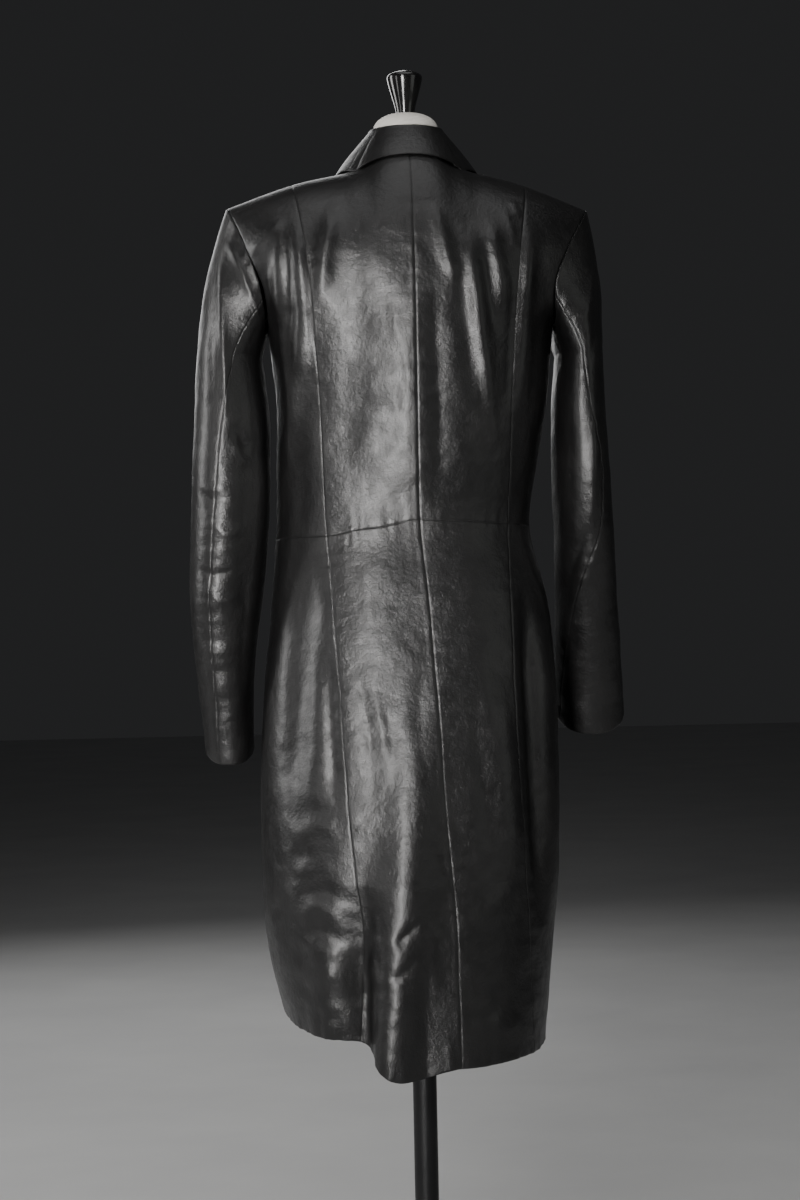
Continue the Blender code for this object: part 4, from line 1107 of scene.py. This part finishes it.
def rounded_rod(radius, top, foot, edge=STAND_EDGE):
    """Profile of a rod with a rounded top edge."""
    turns = np.linspace(np.pi / 2, 0, ROUND_STEPS)
    rim = [(radius - edge + edge * math.cos(t), top - edge + edge * math.sin(t)) for t in turns]
    return rim + [(radius, foot)]


def stand():
    """The cap and knob above the neck, and the pole, socket and base below the form."""
    top, foot = KNOB_BOTTOM_Z - REST_GAP, NECK_TOP_Z + REST_GAP
    dome = []
    for turn in np.linspace(DOME_START, np.pi / 2, DOME_STEPS):
        radius = KNOB_SEAT_RADIUS + (CAP_RADIUS - KNOB_SEAT_RADIUS) * math.sin(turn)
        dome.append((radius, foot + (top - foot) * math.cos(turn)))
    turned("neck_cap", dome, JERSEY)
    heights = np.linspace(KNOBS[0].height, 0, KNOB_STEPS)
    knob = [(value(KNOBS, "height", "radius", h), KNOB_BOTTOM_Z + h) for h in heights]
    turned("knob", knob, LACQUER)
    socket_top = BASE_THICKNESS + SOCKET_HEIGHT
    pole = [(POLE_RADIUS, FORM_FOOT_Z - REST_GAP), (POLE_RADIUS, socket_top + REST_GAP)]
    turned("pole", pole, STEEL)
    turned("pole_socket", rounded_rod(SOCKET_RADIUS, socket_top, BASE_THICKNESS + REST_GAP), STEEL)
    turned("base", rounded_rod(BASE_RADIUS, BASE_THICKNESS, 0.0), STEEL)


def dress_form():
    """The form's torso, smoothed from its solid."""
    form = bmesh.new()
    form.from_mesh(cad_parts["form_torso"].data)
    bmesh.ops.remove_doubles(form, verts=form.verts, dist=MERGE_DISTANCE)
    limits = {"angle_face_threshold": JOIN_ANGLE, "angle_shape_threshold": JOIN_ANGLE}
    bmesh.ops.join_triangles(form, faces=form.faces, **limits)
    piece = piece_from("form_torso_cover", mesh_from("form_torso_cover", form), JERSEY)
    round_off = piece.modifiers.new("smooth", "SUBSURF")
    round_off.levels = round_off.render_levels = SMOOTH_LEVELS
    dress(piece, "form_torso")


def capsule(form, start, end, radius):
    """A short rounded thread between two points."""
    direction = (end - start).normalized()
    side = direction.orthogonal().normalized()
    other = direction.cross(side)
    tips = [form.verts.new(start), form.verts.new(end)]
    rings = []
    for share in STITCH_TAPERS:
        middle = start.lerp(end, share)
        rings.append([form.verts.new(middle + (side * c + other * s) * radius) for c, s in QUARTERS])
    for j in range(4):
        k = (j + 1) % 4
        form.faces.new((tips[0], rings[0][k], rings[0][j]))
        form.faces.new((rings[0][j], rings[0][k], rings[1][k], rings[1][j]))
        form.faces.new((rings[1][j], rings[1][k], tips[1]))


def stitches(name, lines):
    """Threads sunk in the seams, along lines of (points, outward directions)."""
    form = bmesh.new()
    for points, outward in lines:
        at = lengths_along(points)
        sunk = points - outward * STITCH_DEPTH
        for start in np.arange(STITCH_PITCH, at[-1] - STITCH_PITCH, STITCH_PITCH):
            ends = (start, start + STITCH_LENGTH)
            a, b = (Vector([np.interp(end, at, column) for column in sunk.T]) for end in ends)
            capsule(form, a, b, STITCH_RADIUS)
    piece = piece_from(name, mesh_from(name, form), THREAD)
    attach(piece, "root")


def edge_line(points, centre, edge):
    """An edge of a piece with its outward directions, as a line to sew along."""
    return points[EDGES[edge]], normals(points, centre)[EDGES[edge]]


def button(index, z):
    """A sewn-on button with a sunk middle and a rounded rim, and its thread."""
    near = BUTTON_PROBE * np.array([-1.0, 0.0, 1.0])
    place = front_place(*np.meshgrid(near, z + near))
    outward = Vector(normals(place, MIDDLE)[1, 1])
    middle = Vector(place[1, 1]) + outward * (OVERLAP_LIFT + BUTTON_GAP)
    sewn_at = Matrix.Translation(middle) @ outward.to_track_quat("Z", "Y").to_matrix().to_4x4()
    name = f"button_{index}_horn"
    profile = [(share * BUTTON_RADIUS, height * BUTTON_THICKNESS) for share, height in BUTTON_PROFILE]
    piece = piece_from(name, lathe(name, profile, BUTTON_STEPS), HORN, BUTTON_SHARP_ANGLE)
    piece.matrix_world = sewn_at
    dress(piece, f"button_{index}")
    form = bmesh.new()
    for x in (-BAR_OFFSET, BAR_OFFSET):
        for lift in BAR_LIFTS:
            ends = (Vector((x, y, profile[0][1] + lift)) for y in (-BAR_HALF_LENGTH, BAR_HALF_LENGTH))
            capsule(form, *ends, BAR_RADIUS)
    name = f"button_{index}_thread"
    threads = piece_from(name, mesh_from(name, form), THREAD)
    threads.matrix_world = sewn_at
    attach(threads, "root")


# The back's panels with the widths of their grids; the centre seam's allowance shows beside one of them
PANELS = table(
    "name near far back_width skirt_width lips",
    ("side_left", -SIDE_ANGLE, "seam_left", 0.062, 0.130, PLAIN),
    ("center_left", "seam_left", "seam_mid", 0.120, 0.125, (0, 1, 0, 0)),
    ("center_right", "seam_mid", "seam_right", 0.120, 0.095, PLAIN),
    ("side_right", "seam_right", SIDE_ANGLE, 0.062, 0.120, PLAIN),
)
SEWN_EDGES = (("center_left", "first"), ("center_left", "last"), ("center_right", "last"))

# Height of the puckers at a piece's first and last column, then at its first and last row
BACK_PUCKERS = (0.0006, 0.0006, 0.0016, 0.0004)
SKIRT_PUCKERS = (0.0007, 0.0007, 0.0010, 0.0018)
FRONT_PUCKERS = (0.0002, 0.0006, 0.0010, 0.0004)
SLEEVE_PUCKERS = (0.0012, 0.0014, 0.0012, 0.0008)
SLEEVE_WIDTHS = {"top": 0.20, "under": 0.13}


def coat():
    """Every cut piece of the coat, then the threads of its seams."""
    backs, skirts = {}, {}
    for p in PANELS:
        grid = back_bodice(p.near, p.far, p.back_width)
        backs[p.name] = cloth(f"back_{p.name}", grid, BACK_CREASES, BACK_PUCKERS, p.lips)
    for p in PANELS:
        grid = skirt(p.near, p.far, p.skirt_width)
        skirts[p.name] = cloth(f"skirt_{p.name}", grid, BACK_CREASES, SKIRT_PUCKERS, p.lips)
    lines = [edge_line(made[name], MIDDLE, edge) for name, edge in SEWN_EDGES for made in (backs, skirts)]
    lines += [edge_line(grid, MIDDLE, "top") for grid in skirts.values()]
    stitches("back_seam_threads", lines)
    for side_name, side in SIDES.items():
        front = cloth(f"front_{side_name}", front_panel(side), BACK_CREASES, FRONT_PUCKERS)
        cloth(f"lapel_{side_name}", lapel(side_name), ())
        centre = (side * SLEEVE_MIDDLE[0], SLEEVE_MIDDLE[1])
        seams = [edge_line(front, MIDDLE, "last")]
        for part, width in SLEEVE_WIDTHS.items():
            grid = sleeve_piece(side_name, part == "top", width)
            node = f"sleeve_{part}_{side_name}"
            sleeve = cloth(node, grid, SLEEVE_CREASES, SLEEVE_PUCKERS, centre=centre)
            seams += [edge_line(sleeve, centre, edge) for edge in ("last", "top")]
        stitches(f"{side_name}_seam_threads", seams)
    cloth("collar_stand", collar_stand(), ())
    cloth("collar_fall", collar_fall(), ())
    for index, row in enumerate(BUTTON_ROWS, 1):
        button(index, blend(FRONT_HEM_Z, UNDERARM_Z, row / FRONT_ROWS))


# The camera stands behind the coat, a little to its left, level with its waist and slightly rolled
CAMERA_AZIMUTH = math.radians(-3)
CAMERA_DISTANCE = 3.0
CAMERA_HEIGHT = 0.94
CAMERA_OFFSET = -0.0179
CAMERA_ROLL = math.radians(-1.157)
CAMERA_LENS = 75.6
CAMERA_SENSOR = 36

# Soft studio lights: place, aim, width, height, power, spread in degrees, colour
LAMPS = table(
    "name place aim width height power spread colour",
    ("key", (-0.95, -2.95, 0.75), (-0.30, 0.0, 1.0), 0.55, 1.1, 5.6, 46, (1.0, 0.985, 0.97)),
    ("upper_key", (-0.95, -2.95, 1.85), (-0.30, 0.0, 1.0), 0.55, 1.0, 3.1, 46, (1.0, 0.985, 0.97)),
    ("left", (-2.3, -1.35, 1.35), (-0.15, 0.0, 1.15), 0.35, 1.4, 5, 180, (1.0, 0.99, 0.98)),
    ("rim", (-2.75, 0.6, 1.8), (-0.2, 0.0, 1.15), 0.7, 1.9, 30, 180, (1.0, 0.99, 0.98)),
    ("fill", (2.4, -1.8, 1.6), (0.0, 0.0, 1.0), 1.4, 2.0, 5, 180, (0.97, 1.0, 0.95)),
    ("front", (-0.8, 3.4, 2.4), (0.0, 0.0, 0.9), 2.0, 2.0, 32, 180, (1.0, 1.0, 1.0)),
    ("ceiling", (0.0, -1.2, 4.2), (0.0, -1.2, 0.0), 3.0, 3.0, 30, 180, (1.0, 1.0, 1.0)),
)
WORLD_COLOUR = (0.62, 0.63, 0.65)
WORLD_STRENGTH = 0.03
FLOOR_SIZE = 30.0


def floor():
    mesh = bpy.data.meshes.new("floor")
    half = FLOOR_SIZE / 2
    corners = [(-half, -half, 0), (half, -half, 0), (half, half, 0), (-half, half, 0)]
    mesh.from_pydata(corners, [], [(0, 1, 2, 3)])
    mesh.materials.append(floor_paint())
    ground = bpy.data.objects.new("floor", mesh)
    bpy.context.scene.collection.objects.link(ground)


def lights():
    """The studio's lamps and the faint light from all round."""
    for lamp in LAMPS:
        light = bpy.data.lights.new(lamp.name, "AREA")
        light.shape = "RECTANGLE"
        light.size, light.size_y = lamp.width, lamp.height
        light.energy, light.color = lamp.power, lamp.colour
        light.spread = math.radians(lamp.spread)
        holder = bpy.data.objects.new(lamp.name, light)
        holder.location = lamp.place
        holder.rotation_euler = (Vector(lamp.aim) - Vector(lamp.place)).to_track_quat("-Z", "Y").to_euler()
        bpy.context.scene.collection.objects.link(holder)
    world = bpy.data.worlds.new("studio")
    world.use_nodes = True
    sky = world.node_tree.nodes["Background"].inputs
    sky["Color"].default_value = (*WORLD_COLOUR, 1)
    sky["Strength"].default_value = WORLD_STRENGTH
    bpy.context.scene.world = world


def camera():
    """The camera behind the coat, turned a little with it."""
    view = bpy.data.cameras.new("camera")
    view.lens = CAMERA_LENS
    view.sensor_width = CAMERA_SENSOR
    viewer = bpy.data.objects.new("camera", view)
    right = Vector((math.cos(CAMERA_AZIMUTH), math.sin(CAMERA_AZIMUTH), 0))
    place = Vector((math.sin(CAMERA_AZIMUTH), -math.cos(CAMERA_AZIMUTH), 0)) * CAMERA_DISTANCE
    place += right * CAMERA_OFFSET + Vector((0, 0, CAMERA_HEIGHT))
    turn = Matrix.Rotation(CAMERA_AZIMUTH, 4, "Z") @ Matrix.Rotation(math.pi / 2, 4, "X")
    viewer.matrix_world = Matrix.Translation(place) @ turn @ Matrix.Rotation(CAMERA_ROLL, 4, "Z")
    bpy.context.scene.collection.objects.link(viewer)
    bpy.context.scene.camera = viewer


LEATHER, THREAD, HORN = leather(), thread(), horn()
JERSEY, LACQUER, STEEL = jersey(), lacquer(), steel()
coat()
dress_form()
stand()
floor()
lights()
camera()
